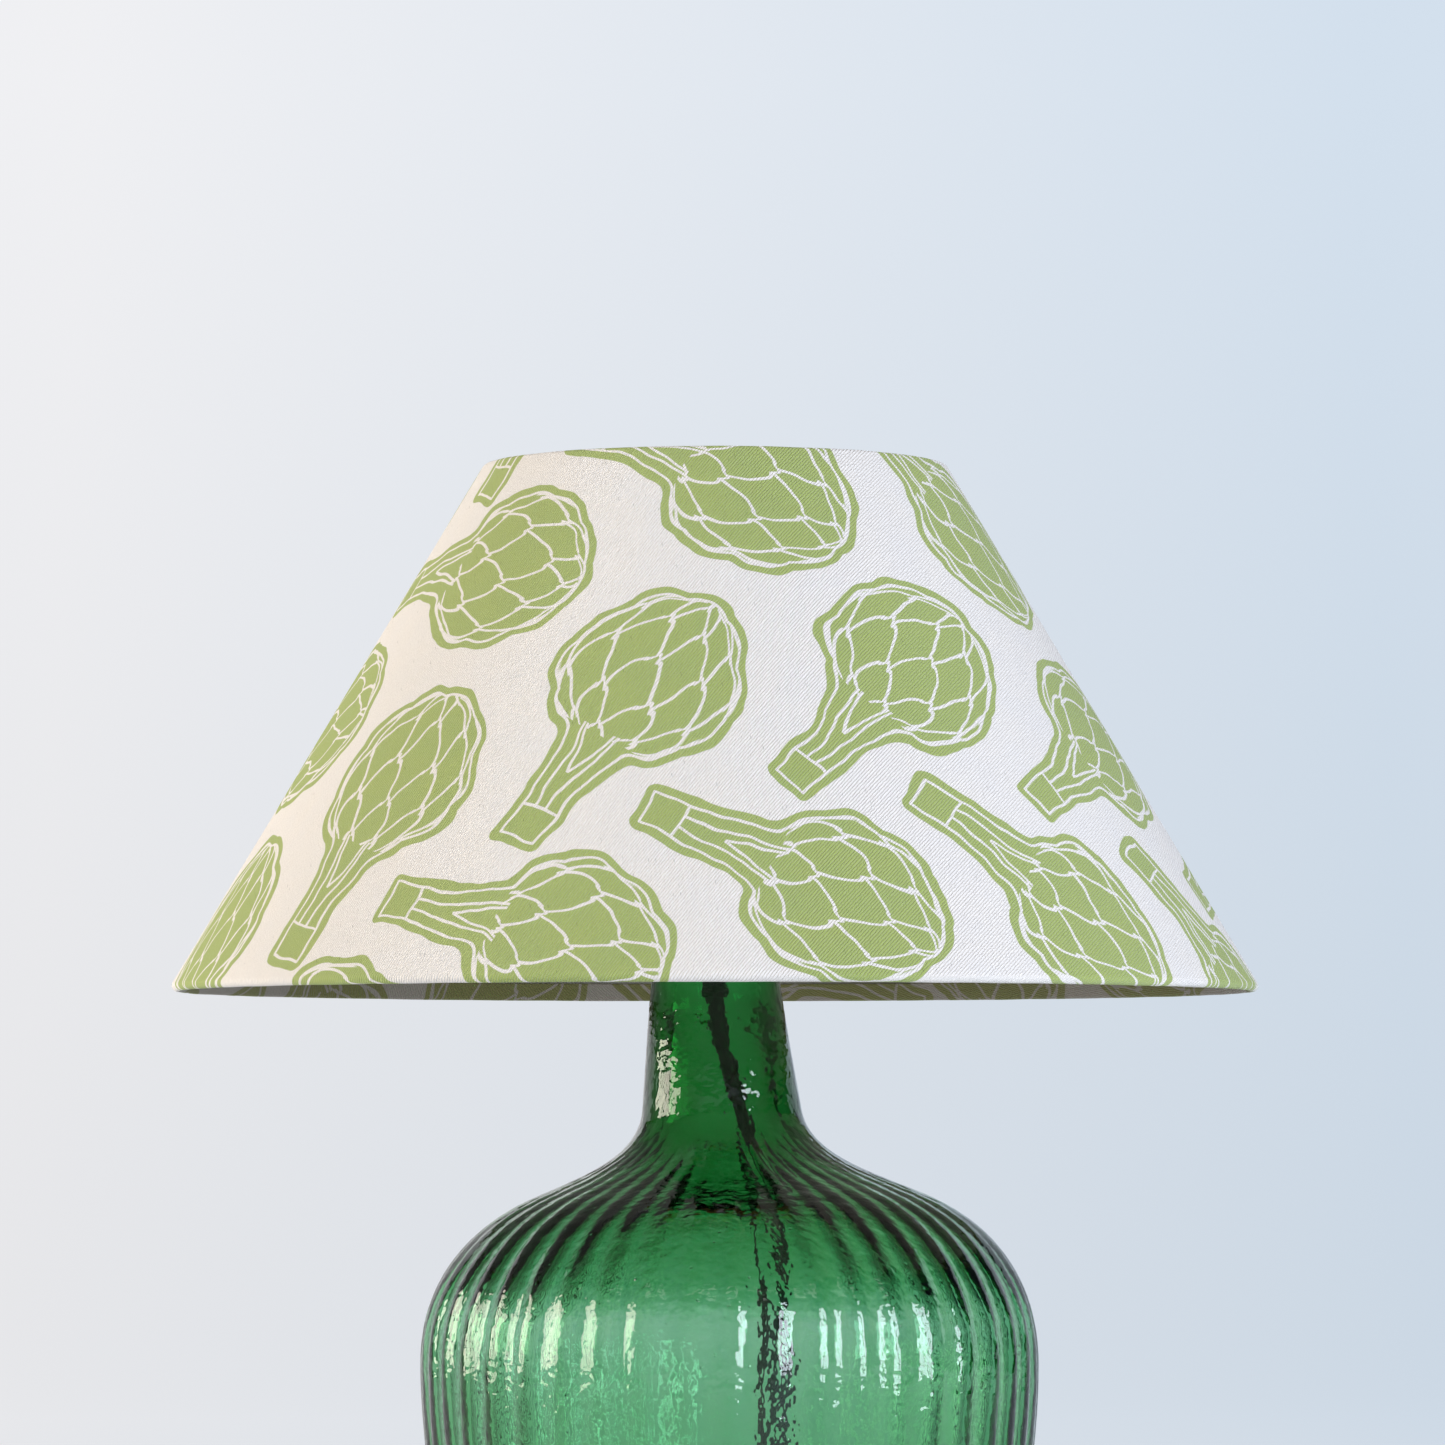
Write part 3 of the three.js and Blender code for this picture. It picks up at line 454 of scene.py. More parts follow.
def artichokeGroup():
    # one artichoke, repeated: a globe of pointed bracts on a flared stem, drawn in line on a solid shape
    tree = bpy.data.node_groups.new("artichoke motif", "ShaderNodeTree")
    for name in ("across", "down", "centreX", "centreY", "alongX", "alongY", "slant", "shift", "seed",
                 "bracts", "rows"):
        tree.interface.new_socket(name=name, in_out="INPUT", socket_type="NodeSocketFloat")
    tree.interface.new_socket(name="print", in_out="OUTPUT", socket_type="NodeSocketFloat")
    given = addNode(tree, "NodeGroupInput")
    v = {socket.name: socket for socket in given.outputs if socket.name}
    a = artichoke
    calculate(tree, v, [  # the nearest motif, and how far along and beside it a point lies
        ("qx", "SUBTRACT", "across", "centreX"),
        ("qy", "SUBTRACT", "down", "centreY"),
        ("rowShare", "DIVIDE", "qy", printRepeat["height"]),
        ("row", "ROUND", "rowShare"),
        ("rowBack", "MULTIPLY", "row", -printRepeat["height"]),
        ("y", "ADD", "qy", "rowBack"),
        ("lean", "MULTIPLY", "y", "slant"),
        ("leantFar", "SUBTRACT", "qx", "lean"),
        ("leant", "SUBTRACT", "leantFar", "shift"),
        ("columnShare", "DIVIDE", "leant", printRepeat["width"]),
        ("column", "ROUND", "columnShare"),
        ("columnBack", "MULTIPLY", "column", -printRepeat["width"]),
        ("x", "ADD", "qx", "columnBack"),
        ("xAlong", "MULTIPLY", "x", "alongX"),
        ("yAlong", "MULTIPLY", "y", "alongY"),
        ("alongSum", "ADD", "xAlong", "yAlong"),
        ("t0", "SUBTRACT", "alongSum", 25.5),
        ("xBeside", "MULTIPLY", "x", "alongY"),
        ("yBeside", "MULTIPLY", "y", "alongX"),
        ("n0", "SUBTRACT", "yBeside", "xBeside"),
        ("columnSeed", "MULTIPLY_ADD", "column", 7.3, "seed"),
        ("eachSeed", "MULTIPLY_ADD", "row", 3.1, "columnSeed"),
        ("tScaled", "MULTIPLY", "t0", 0.035),
        ("nScaled", "MULTIPLY", "n0", 0.035),
    ])
    hand = addNode(tree, "ShaderNodeCombineXYZ", {0: v["tScaled"], 1: v["nScaled"], 2: v["eachSeed"]})
    wobble = addNode(tree, "ShaderNodeTexNoise", {"Vector": hand.outputs[0], "Scale": 1.0, "Detail": 2.0})
    parts = addNode(tree, "ShaderNodeSeparateColor", {0: wobble.outputs["Color"]})
    v["wobbleT"], v["wobbleN"], v["wobbleEdge"] = parts.outputs[:3]
    calculate(tree, v, [
        ("tMoved", "MULTIPLY_ADD", "wobbleT", 10.0, "t0"),
        ("t", "SUBTRACT", "tMoved", 5.0),
        ("nMoved", "MULTIPLY_ADD", "wobbleN", 10.0, "n0"),
        ("n", "SUBTRACT", "nMoved", 5.0),
        # the head, a globe a little fuller near the stem
        ("fuller", "MULTIPLY_ADD", "t", -0.0028 * a["halfWidth"], a["halfWidth"]),
        ("xn", "DIVIDE", "n", "fuller"),
        ("yn", "DIVIDE", "t", a["halfLength"]),
        ("xn2", "MULTIPLY", "xn", "xn"),
        ("r2", "MULTIPLY_ADD", "yn", "yn", "xn2"),
        ("r", "SQRT", "r2"),
        ("angle", "ARCTAN2", "xn", "yn"),
        ("bumpAngle", "MULTIPLY_ADD", "angle", 5.0, "eachSeed"),
        ("bumpSine", "SINE", "bumpAngle"),
        ("bumps", "ABSOLUTE", "bumpSine"),
        ("headRough", "MULTIPLY_ADD", "r", 37.0, -36.2),
        ("head", "MULTIPLY_ADD", "bumps", -1.7, "headRough"),
        # the stem
        ("flareShare", "SMOOTH_MAX", "t", -60.0, 12.0),
        ("flareUp", "ADD", "flareShare", 60.0),
        ("flareMost", "MINIMUM", "flareUp", 34.0),
        ("half", "MULTIPLY_ADD", "flareMost", a["flare"] / 34.0, a["stemHalf"]),
        ("nSize", "ABSOLUTE", "n"),
        ("side", "SUBTRACT", "nSize", "half"),
        ("end", "SUBTRACT", a["stemEnd"], "t"),
        ("top", "ADD", "t", 12.0),
        ("sideOut", "MAXIMUM", "side", 0.0),
        ("endOut", "MAXIMUM", "end", 0.0),
        ("sideOut2", "MULTIPLY", "sideOut", "sideOut"),
        ("corner2", "MULTIPLY_ADD", "endOut", "endOut", "sideOut2"),
        ("corner", "SQRT", "corner2"),
        ("stemIn", "MAXIMUM", "side", "end"),
        ("stemInside", "MINIMUM", "stemIn", 0.0),
        ("stemOpen", "ADD", "corner", "stemInside"),
        ("stem", "MAXIMUM", "stemOpen", "top"),
        ("shape", "SMOOTH_MIN", "head", "stem", 6.0),
        ("outline", "ABSOLUTE", "shape"),
        # the bracts: a net of pointed scales, each tip between two of the next row
        ("ynMost", "MINIMUM", "yn", 0.985),
        ("ynSafe", "MAXIMUM", "ynMost", -0.985),
        ("phi", "ARCSINE", "ynSafe"),
        ("yn2", "MULTIPLY", "ynSafe", "ynSafe"),
        ("cosPhi2", "SUBTRACT", 1.0, "yn2"),
        ("cosPhi", "SQRT", "cosPhi2"),
        ("xlRaw", "DIVIDE", "xn", "cosPhi"),
        ("xlMost", "MINIMUM", "xlRaw", 0.985),
        ("xl", "MAXIMUM", "xlMost", -0.985),
        ("lambda", "ARCSINE", "xl"),
        ("xl2", "MULTIPLY", "xl", "xl"),
        ("cosLam2", "SUBTRACT", 1.0, "xl2"),
        ("cosLam", "SQRT", "cosLam2"),
        ("perBract", "DIVIDE", "bracts", math.pi),
        ("perRow", "DIVIDE", "rows", math.pi),
        ("netShift", "MULTIPLY", "eachSeed", 0.37),
        ("u", "MULTIPLY_ADD", "lambda", "perBract", "netShift"),
        ("phiUp", "ADD", "phi", math.pi / 2),
        ("vRow", "MULTIPLY", "phiUp", "perRow"),
        ("k", "FLOOR", "vRow"),
        ("f", "SUBTRACT", "vRow", "k"),
        ("staggered", "MULTIPLY_ADD", "k", 0.5, "u"),
        ("s", "FRACT", "staggered"),
        ("staggeredNext", "ADD", "staggered", 0.5),
        ("sNext", "FRACT", "staggeredNext"),
        ("bractWide", "MULTIPLY", "cosPhi", "cosLam"),
        ("bractWideMm", "MULTIPLY", "bractWide", a["halfWidth"]),
        ("wideEach", "DIVIDE", "bractWideMm", "perBract"),
        ("wide", "MAXIMUM", "wideEach", 2.5),
        ("tallMm", "MULTIPLY", "cosPhi", a["halfLength"]),
        ("tallEach", "DIVIDE", "tallMm", "perRow"),
        ("tall", "MAXIMUM", "tallEach", 2.0),
        ("halfEach", "MULTIPLY", "wide", 0.5),
        ("slopeV", "DIVIDE", 1.0, "tall"),
        ("slopeV2", "MULTIPLY", "slopeV", "slopeV"),
        *bractSteps("Near", "sNext", 1.0),
        *bractSteps("Far", "s", 0.0),
        ("covered", "LESS_THAN", "offNear", 0.0),  # a bract nearer the stem lies over the next one up
        ("farOpen", "MULTIPLY_ADD", "covered", 50.0, "openFar"),
        ("netOpen", "MINIMUM", "openNear", "farOpen"),
        ("outside", "GREATER_THAN", "head", -0.3),
        ("below", "LESS_THAN", "vRow", 0.95),
        ("noNet", "ADD", "outside", "below"),
        ("net", "MULTIPLY_ADD", "noNet", 50.0, "netOpen"),
        # two ribs up the stem, and the cut across its end
        ("ribShare", "MULTIPLY_ADD", "t", 0.006, 0.75),
        ("ribAt", "MULTIPLY", "half", "ribShare"),
        ("ribOff", "SUBTRACT", "nSize", "ribAt"),
        ("ribOpen", "ABSOLUTE", "ribOff"),
        ("aboveStem", "GREATER_THAN", "t", -31.0),
        ("belowCut", "LESS_THAN", "t", a["stemEnd"] + 15.0),
        ("noRib", "ADD", "aboveStem", "belowCut"),
        ("ribs", "MULTIPLY_ADD", "noRib", 50.0, "ribOpen"),
        ("notchAt", "MULTIPLY_ADD", "t", 0.3, 0.3 * 54),  # the notch where the stem meets the head
        ("notchOff", "SUBTRACT", "nSize", "notchAt"),
        ("notchOpen", "ABSOLUTE", "notchOff"),
        ("notchBelow", "LESS_THAN", "t", -54.0),
        ("noNotch", "ADD", "aboveStem", "notchBelow"),
        ("notch", "MULTIPLY_ADD", "noNotch", 50.0, "notchOpen"),
        ("cutOff", "SUBTRACT", "t", a["stemEnd"] + 15.0),
        ("cutOpen", "ABSOLUTE", "cutOff"),
        ("besideStem", "GREATER_THAN", "side", 0.0),
        ("cut", "MULTIPLY_ADD", "besideStem", 50.0, "cutOpen"),
        ("nearest1", "MINIMUM", "outline", "net"),
        ("nearest2", "MINIMUM", "ribs", "cut"),
        ("nearest3", "MINIMUM", "nearest1", "nearest2"),
        ("nearest", "MINIMUM", "nearest3", "notch"),
        ("lineEdge", "MULTIPLY_ADD", "nearest", -4.0, 4.0 * a["lineHalf"] + 0.5),
        ("edgeOff", "MULTIPLY_ADD", "wobbleEdge", 3.0, a["margin"] - 1.5),
        ("inkRoom", "SUBTRACT", "edgeOff", "shape"),
        ("inkEdge", "MULTIPLY_ADD", "inkRoom", 3.0, 0.5),
    ])
    line = addNode(tree, "ShaderNodeClamp", {0: v["lineEdge"]}).outputs[0]
    ink = addNode(tree, "ShaderNodeClamp", {0: v["inkEdge"]}).outputs[0]
    v["line"], v["ink"] = line, ink
    calculate(tree, v, [("noLine", "SUBTRACT", 1.0, "line"), ("print", "MULTIPLY", "ink", "noLine")])
    addNode(tree, "NodeGroupOutput", {0: v["print"]})
    return tree


def printedCloth():
    # cotton and linen twill, screen printed: off-white, diagonal ribs, dark flecks of husk, matt green ink
    material, tree, shader = newMaterial("printed cotton twill", {"Roughness": 0.92, "Sheen Weight": 0.15,
                                                                 "Specular IOR Level": 0.2})
    flat = addNode(tree, "ShaderNodeUVMap", uv_map="flatCut").outputs[0]
    turn = math.radians(printRepeat["turn"])
    split = addNode(tree, "ShaderNodeSeparateXYZ", {0: flat})
    v = {"u": split.outputs[0], "v": split.outputs[1]}
    calculate(tree, v, [
        ("right", "MULTIPLY_ADD", "u", 1000.0, -1000 * clothMargin[0]),
        ("down", "MULTIPLY_ADD", "v", 1000.0, -1000 * clothMargin[1]),
        ("rightCos", "MULTIPLY", "right", math.cos(turn)),
        ("x", "MULTIPLY_ADD", "down", -math.sin(turn), "rightCos"),
        ("rightSin", "MULTIPLY", "right", math.sin(turn)),
        ("y", "MULTIPLY_ADD", "down", math.cos(turn), "rightSin"),
    ])
    group = artichokeGroup()
    inks = []
    for m in motifs:
        placed = addNode(tree, "ShaderNodeGroup", {
            "across": v["x"], "down": v["y"], "centreX": m["centre"][0], "centreY": m["centre"][1],
            "alongX": m["along"][0], "alongY": m["along"][1], "slant": m["slant"], "shift": m["shift"],
            "seed": m["seed"], "bracts": m["across"], "rows": m["rows"]}, node_tree=group)
        inks.append(placed.outputs[0])
    v["inkA"], v["inkB"] = inks
    threads = addNode(tree, "ShaderNodeCombineXYZ", {0: v["x"], 1: v["y"]}).outputs[0]
    # yarn 1 mm thick, flecks of husk along it, and patches of 15 mm
    cloud = addNode(tree, "ShaderNodeTexNoise", {"Vector": threads, "Scale": 0.9, "Detail": 2.0})
    slub = addNode(tree, "ShaderNodeMapping", {"Vector": threads, "Scale": (1.6, 0.25, 1.0)})
    husk = addNode(tree, "ShaderNodeTexVoronoi", {"Vector": slub.outputs[0], "Scale": 0.45})
    uneven = addNode(tree, "ShaderNodeTexNoise", {"Vector": threads, "Scale": 0.06, "Detail": 3.0})
    v["cloud"], v["husk"], v["uneven"] = cloud.outputs[0], husk.outputs["Distance"], uneven.outputs[0]
    v["huskPick"] = addNode(tree, "ShaderNodeSeparateColor", {0: husk.outputs["Color"]}).outputs[0]
    # the twill's diagonal ribs are drawn 1.1 mm apart, where the real ones lie 0.6 mm apart, to show at all
    calculate(tree, v, [
        ("right2", "MULTIPLY", "right", "right"),
        ("radial2", "MULTIPLY_ADD", "down", "down", "right2"),
        ("radial", "SQRT", "radial2"),
        ("pastRim", "SUBTRACT", "radial", hemStart),
        ("pastRimMost", "MINIMUM", "pastRim", 1.0),
        ("hemShare", "MAXIMUM", "pastRimMost", 0.0),
        ("diagonal", "ADD", "x", "y"),
        ("ribTurn", "MULTIPLY", "diagonal", 2 * math.pi / 1.55),
        ("ribWavy", "MULTIPLY_ADD", "cloud", 5.0, "ribTurn"),
        ("rib", "SINE", "ribWavy"),
        ("huskNear", "LESS_THAN", "husk", 0.12),
        ("huskRare", "GREATER_THAN", "huskPick", 0.78),
        ("fleck", "MULTIPLY", "huskNear", "huskRare"),
        ("ink", "MAXIMUM", "inkA", "inkB"),
        ("inkThin", "MULTIPLY_ADD", "rib", 0.07, 0.92),
        ("inkMost", "MULTIPLY", "ink", "inkThin"),
        ("shadeRib", "MULTIPLY_ADD", "rib", 0.055, 0.93),
        ("shadeYarn", "MULTIPLY_ADD", "cloud", 0.12, "shadeRib"),
        ("shadeSpot", "MULTIPLY_ADD", "fleck", -0.3, "shadeYarn"),
        ("paintedHemShade", "MULTIPLY_ADD", "hemShare", -0.5, 1.0),  # painted shade: the turned-in hem is drawn darker, as it lies in the shade's own shadow
        ("shadeAll", "MULTIPLY", "shadeSpot", "paintedHemShade"),
        ("paintedHemWarmth", "MULTIPLY", "hemShare", 0.4),
        ("height", "MULTIPLY_ADD", "cloud", 0.8, "rib"),
    ])
    ground = addNode(tree, "ShaderNodeMix", {0: v["uneven"], 6: linear("ebe5dc"), 7: linear("e6e3df")},
                     data_type="RGBA")
    green = addNode(tree, "ShaderNodeMix", {0: v["uneven"], 6: linear("9fae57"), 7: linear("98ab5d")},
                    data_type="RGBA")
    printed = addNode(tree, "ShaderNodeMix", {0: v["inkMost"], 6: ground.outputs[2], 7: green.outputs[2]},
                      data_type="RGBA")
    shaded = addNode(tree, "ShaderNodeHueSaturation", {"Color": printed.outputs[2], "Value": v["shadeAll"]})
    # painted shade: the turned-in hem is tinted towards warm brown, for the dim warm light inside the shade
    hemShadedColour = addNode(tree, "ShaderNodeMix", {0: v["paintedHemWarmth"], 6: shaded.outputs[0], 7: linear("7a6038")},
                    data_type="RGBA")
    tree.links.new(hemShadedColour.outputs[2], shader.inputs["Base Color"])
    addNode(tree, "ShaderNodeBump", {"Height": v["height"], "Distance": 0.00018, "Strength": 0.9},
            into=shader.inputs["Normal"])
    return material


cordSize = {"radius": 3.5, "exitHeight": 34.0, "lean": 6.0, "inWall": 6.0, "straight": 10.0, "bend": 42.0,
            "drop": 94.0}
coilSize = {"centre": (-124.0, 112.0), "inner": 28.8, "outer": 51.0, "turns": 6.25, "rise": 7.1}
plugSize = {"place": (-182.6, 10.0), "turn": 172.0, "width": 48.0, "length": 50.0, "height": 21.0}

grommetLow, grommetHigh = (corner * 1000 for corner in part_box("cord_grommet"))


def freeCordPath(c, w):
    start = grommetHigh.y
    middle = start - c["inWall"]
    path = [Vector((c["lean"], middle, c["exitHeight"])), Vector((c["lean"], middle + 3, c["exitHeight"]))]
    quarter = math.pi / 2 * c["bend"]
    length = c["straight"] + quarter + (c["lean"] - c["bend"] - w["centre"][0])
    steps = 19
    for i in range(steps + 1):
        gone = length * i / steps
        turned = min(max((gone - c["straight"]) / c["bend"], 0), math.pi / 2)
        forward = min(gone, c["straight"]) + c["bend"] * math.sin(turned)
        left = c["bend"] * (1 - math.cos(turned)) + max(gone - c["straight"] - quarter, 0)
        fallen = (1 - math.cos(math.pi * min(gone / c["drop"], 1))) / 2
        along = eased(quarter + c["straight"], length, gone)  # drifts on to the coil's outer turn
        back = start + forward + along * (w["centre"][1] + w["outer"] - start - c["straight"] - c["bend"])
        height = c["exitHeight"] - fallen * (c["exitHeight"] - c["radius"])
        path.append(Vector((c["lean"] - left, back, height)))
    perTurn = 18
    count = round(w["turns"] * perTurn)
    for i in range(1, count + 1):  # inwards on the table, then outwards on top of that
        share = i / count
        angle = math.pi / 2 + 2 * math.pi * w["turns"] * share
        inwards = 1 - abs(2 * share - 1)
        radius = w["outer"] - (w["outer"] - w["inner"]) * inwards
        height = c["radius"] + w["rise"] * eased(0.46, 0.56, share)
        path.append(Vector((w["centre"][0] + radius * math.cos(angle),
                            w["centre"][1] + radius * math.sin(angle), height)))
    # off the coil and into the plug
    tail = [(-175, 98, 10.55), (-175.0, 84.7, 10.4), (-175.1, 75, 10.3), (-175.4, 66, 10.35),
            (-176, 57, 10.5), (-177.4, 46.2, 10.5), (-178.9, 35.9, 10.5)]
    return path + [Vector(p) for p in tail]


def pathLength(path):
    return sum((b - a).length for a, b in zip(path, path[1:])) / 1000


# soft PVC over three cores, extruded: black, smooth, slightly dull
blackPvc = plain("black PVC flex", "151517", 0.42, 900.0, 0.00005)
cordPath = freeCordPath(cordSize, coilSize)
cord = wire("free_cord", cordPath, cordSize["radius"], sides=5)
finishPiece(cord, blackPvc, replaces=("cord_lead", "cord_coil", "cord_tail"))
print("free cord laid,", round(pathLength(cordPath), 3), "m")


greenGlass = bottleGlass()
milkGlass = opalGlass()
satinBrass = metal("satin brass", "c9a869", 0.3, 900.0, (1, 1, 0.08))
nickelPlate = metal("nickel plate", "c4c4c0", 0.24, 1200.0, (1, 1, 1))
blackOxide = metal("black oxide steel", "2a2a2c", 0.42, 1500.0, (1, 1, 1))
# epoxy coat on steel wire: white, a little orange peel
whiteEpoxy = plain("white epoxy coat", "e9e7e0", 0.38, 500.0, 0.00004)
# glazed porcelain: white, glassy
porcelain = plain("glazed porcelain", "eae6da", 0.14, 160.0, 0.00003, {"Coat Weight": 0.4})
# moulded rubber: black, dull, faintly chalky
rubber = plain("moulded rubber", "1b1b1c", 0.72, 700.0, 0.00006)
# clear silicone: soft, slightly cloudy, takes light through it
silicone = plain("clear silicone", "e8ebec", 0.25, 300.0, 0.00003, {"Transmission Weight": 0.85, "IOR": 1.42})
# moulded polypropylene: satin black, fine spark texture
blackMoulding = plain("moulded black polypropylene", "19191a", 0.4, 1300.0, 0.00005)
redMoulding = plain("moulded red nylon", "a32a20", 0.3, 900.0, 0.00003)
# calendered PVC sheet: off-white, satin, lets a little light through
liningSheet = plain("calendered PVC sheet", "c9c7bb", 0.45, 350.0, 0.00003)

cadFinishes = {
    "centre_contact": satinBrass, "bulb_contact": nickelPlate, "fuse_carrier": redMoulding,
}
for name, material in cadFinishes.items():
    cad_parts[name].data.materials.clear()
    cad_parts[name].data.materials.append(material)


bottle = {
    "start": (106, 30), "belly": ((114, 76), (128.2, 130), (128.2, 176)),
    "shoulder": ((128.2, 208), (112, 231.5), (83.5, 244.5)),
    "root": ((63.7, 253.5), (35.6, 261), (33.2, 281)), "neckTop": (23.8, 358), "wall": 3.0,
    "bellyGather": 1.9, "ribs": 44, "ribDepth": 2.0, "innerShare": 0.84, "lean": 6.0, "slump": 2.1,
    "wave": 0.22, "stepsPerRib": 8,
}


def bottleOutline(b):
    line = [b["start"]]
    for curve, steps in ((b["belly"], 26), (b["shoulder"], 22), (b["root"], 26)):
        line += bezier(line[-1], *curve, steps)
    x0, z0 = line[-1]
    x1, z1 = b["neckTop"]
    line += [(x0 + (x1 - x0) * i / 10, z0 + (z1 - z0) * i / 10) for i in range(1, 11)]
    return line


def movedIn(line, wall):  # the line moved inwards by the wall, which is a function of height
    made = []
    for i, (r, z) in enumerate(line):
        before, after = line[max(i - 1, 0)], line[min(i + 1, len(line) - 1)]
        along = Vector((after[0] - before[0], after[1] - before[1])).normalized()
        made.append((r - along.y * wall(z), z + along.x * wall(z)))
    return made


def wallAt(z):  # the glass gathers thicker in the neck, and a little around the belly
    neckGather = 3.4 * eased(192, 232, z) + 3.9 * eased(232, 275, z) - 5.5 * eased(325, 356, z)
    return bottle["wall"] + neckGather + bottle["bellyGather"] * eased(60, 110, z) * (1 - eased(140, 205, z))


def addBottle(b):
    outline = bottleOutline(b)
    inside = movedIn(outline, wallAt)
    inside = [p for p in inside if 31 < p[1] < 357]
    heel = softened([(0, 12.3), (44.4, 9.8), (74, 2.3), (92, 2.3), (102, 11.3), outline[0], (0, 30)], 9, 5)
    heel = [p for p in heel if p[1] < 29.9]
    lip = [(26.0, 359.6), (27.6, 361.2), (28.5, 363.2), (28.7, 365.5), (28.2, 368.4), (26.9, 370.6),
           (25.0, 371.9), (22.6, 372.0), (20.3, 371.6), (19.2, 370.4), (19, 368), (19, 362), (19, 358)]
    floor = softened([(0, 30), inside[0], (97.6, 22), (92, 13.8), (74, 11.3), (0, 18.3)], 7, 5)
    floor = [p for p in floor if p[1] < 29.9 and p != (0, 30)]
    piece = spun("blown_bottle", heel + outline + lip + inside[::-1] + floor, b["ribs"] * b["stepsPerRib"])
    heights = [z for _, z in outline]
    radii = [r for r, _ in outline]

    def outsideRadius(z):
        if z <= heights[0]:
            return 104.0
        for i in range(1, len(heights)):
            if z < heights[i]:
                t = (z - heights[i - 1]) / (heights[i] - heights[i - 1])
                return radii[i - 1] + (radii[i] - radii[i - 1]) * t
        return 29.0

    innerWall = piece.data.attributes.new("innerWall", "FLOAT", "POINT")
    for vertex in piece.data.vertices:
        x, y, z = vertex.co * 1000
        radius = math.hypot(x, y)
        isInner = radius < outsideRadius(z) - 2.2 and z > 5
        innerWall.data[vertex.index].value = 1.0 if isInner else 0.0
        if radius > 23.8:
            # the ribs, a little uneven in place and depth
            ribbed = eased(6.3, 26.3, z) * (1 - eased(232, 272, z))
            depth = b["ribDepth"] * (b["innerShare"] if isInner else 1)
            drift = noise.noise(Vector((x / 50, y / 50, z / 70 + 9)))
            angle = math.atan2(y, x) + 0.02 * drift
            depth *= 1 + 0.35 * noise.noise(Vector((x / 24, y / 24, z / 90 + 20)))
            moved = radius - depth * ribbed * (1 - math.cos(b["ribs"] * angle)) / 2
            # the waves of hand-blown glass, deeper on the inside
            side = 3.0 if isInner else 0.0
            broad = noise.noise(Vector((x / 34, y / 34, z / 46 + side)))
            fine = noise.noise(Vector((x / 13, y / 13, z / 30 + side)))
            waved = eased(20, 40, z) * (1 - eased(330, 350, z)) * (2.4 if isInner else 1)
            moved += b["wave"] * (broad + 0.5 * fine) * waved
            x, y = x * moved / radius, y * moved / radius
        # the shoulder hangs to one side, and the body stands beside the neck's axis
        shoulder = eased(190, 244.5, z) * (1 - eased(262.5, 281, z))
        z += b["slump"] * shoulder * x / 128.2
        x += b["lean"] * (1 - eased(206, 352, z))
        vertex.co = (x / 1000, y / 1000, z / 1000)
    hole = cutter(cordHole["radius"], 80, 125, 48, (-90, 0, 0), (cordHole["x"], 0, cordHole["height"]))
    cutAway(piece, hole)
    finishPiece(piece, greenGlass, replaces=("bottle",), angle=60)


cordHole = {"x": 6.0, "height": 34.0, "radius": 6.6, "flange": 9.5, "thick": 2.0}
addBottle(bottle)
print("bottle blown")

footSize = {"radius": 5.0, "height": 2.0, "at": 84.0}


def addFeet(f):
    # a bumper foot: a low dome, flat where it stands
    profile = [(0, 0), (f["radius"] - 1.5, 0), (f["radius"] - 0.3, 0.4), (f["radius"], 1.2),
               (f["radius"], f["height"]), (0, f["height"])]
    for i in range(4):
        angle = math.radians(45 + 90 * i)
        piece = moved(spun("bumper_foot_" + str(i + 1), softened(profile, 0.4), 40),
                      (bottle["lean"] + f["at"] * math.cos(angle), f["at"] * math.sin(angle), 0))
        finishPiece(piece, silicone, replaces=("foot_" + str(i + 1),))


addFeet(footSize)


def addGrommet(c):
    inner, outer = grommetLow.y + c["thick"], grommetHigh.y - c["thick"]
    profile = [(3.8, inner - c["thick"]), (6.7, inner - c["thick"]), (7.3, inner), (6.3, inner), (6.3, outer),
               (c["flange"], outer), (c["flange"] - 1, outer + c["thick"]), (3.8, outer + c["thick"])]
    piece = moved(spun("cord_bush", softened(profile, 0.7), 48), (c["x"], 0, c["height"]), (-90, 0, 0))
    finishPiece(piece, rubber, replaces=("cord_grommet",))


addGrommet(cordHole)


neck = {"bungBase": 347.0, "bungTop": 371.0, "bungRadius": 18.65, "bore": 5.3, "gap": 0.3, "washer": 1.5,
        "nutHeight": 4.5, "tubeBase": 327.0, "tubeTop": 390.0, "tubeRadius": 5.0, "tubeBore": 3.9,
        "threadPitch": 1.4, "mouth": 372.0, "capInner": 28.7, "capOuter": 30.1}


def threadedSide(radius, low, high, pitch, depth):  # the flanks of a thread, as rings
    made = []
    count = int((high - low) / pitch)
    for i in range(count):
        z = low + pitch * i
        made += [(radius - depth, z), (radius, z + pitch * 0.35), (radius, z + pitch * 0.55),
                 (radius - depth, z + pitch * 0.9)]
    return made


def hexNut(name, base, radius=8.6):
    deselectAll()
    height = neck["nutHeight"]
    bpy.ops.mesh.primitive_cylinder_add(vertices=6, radius=radius / 1000, depth=height / 1000,
                                        location=(0, 0, (base + height / 2) / 1000),
                                        rotation=(0, 0, math.radians(30)))
    piece = bpy.context.object
    piece.name = name
    bpy.ops.object.transform_apply(location=True, rotation=True, scale=True)
    applyModifier(piece, "BEVEL", width=0.0005, segments=3)
    return cutAway(piece, cutter(neck["bore"], base - 2, base + height + 2))


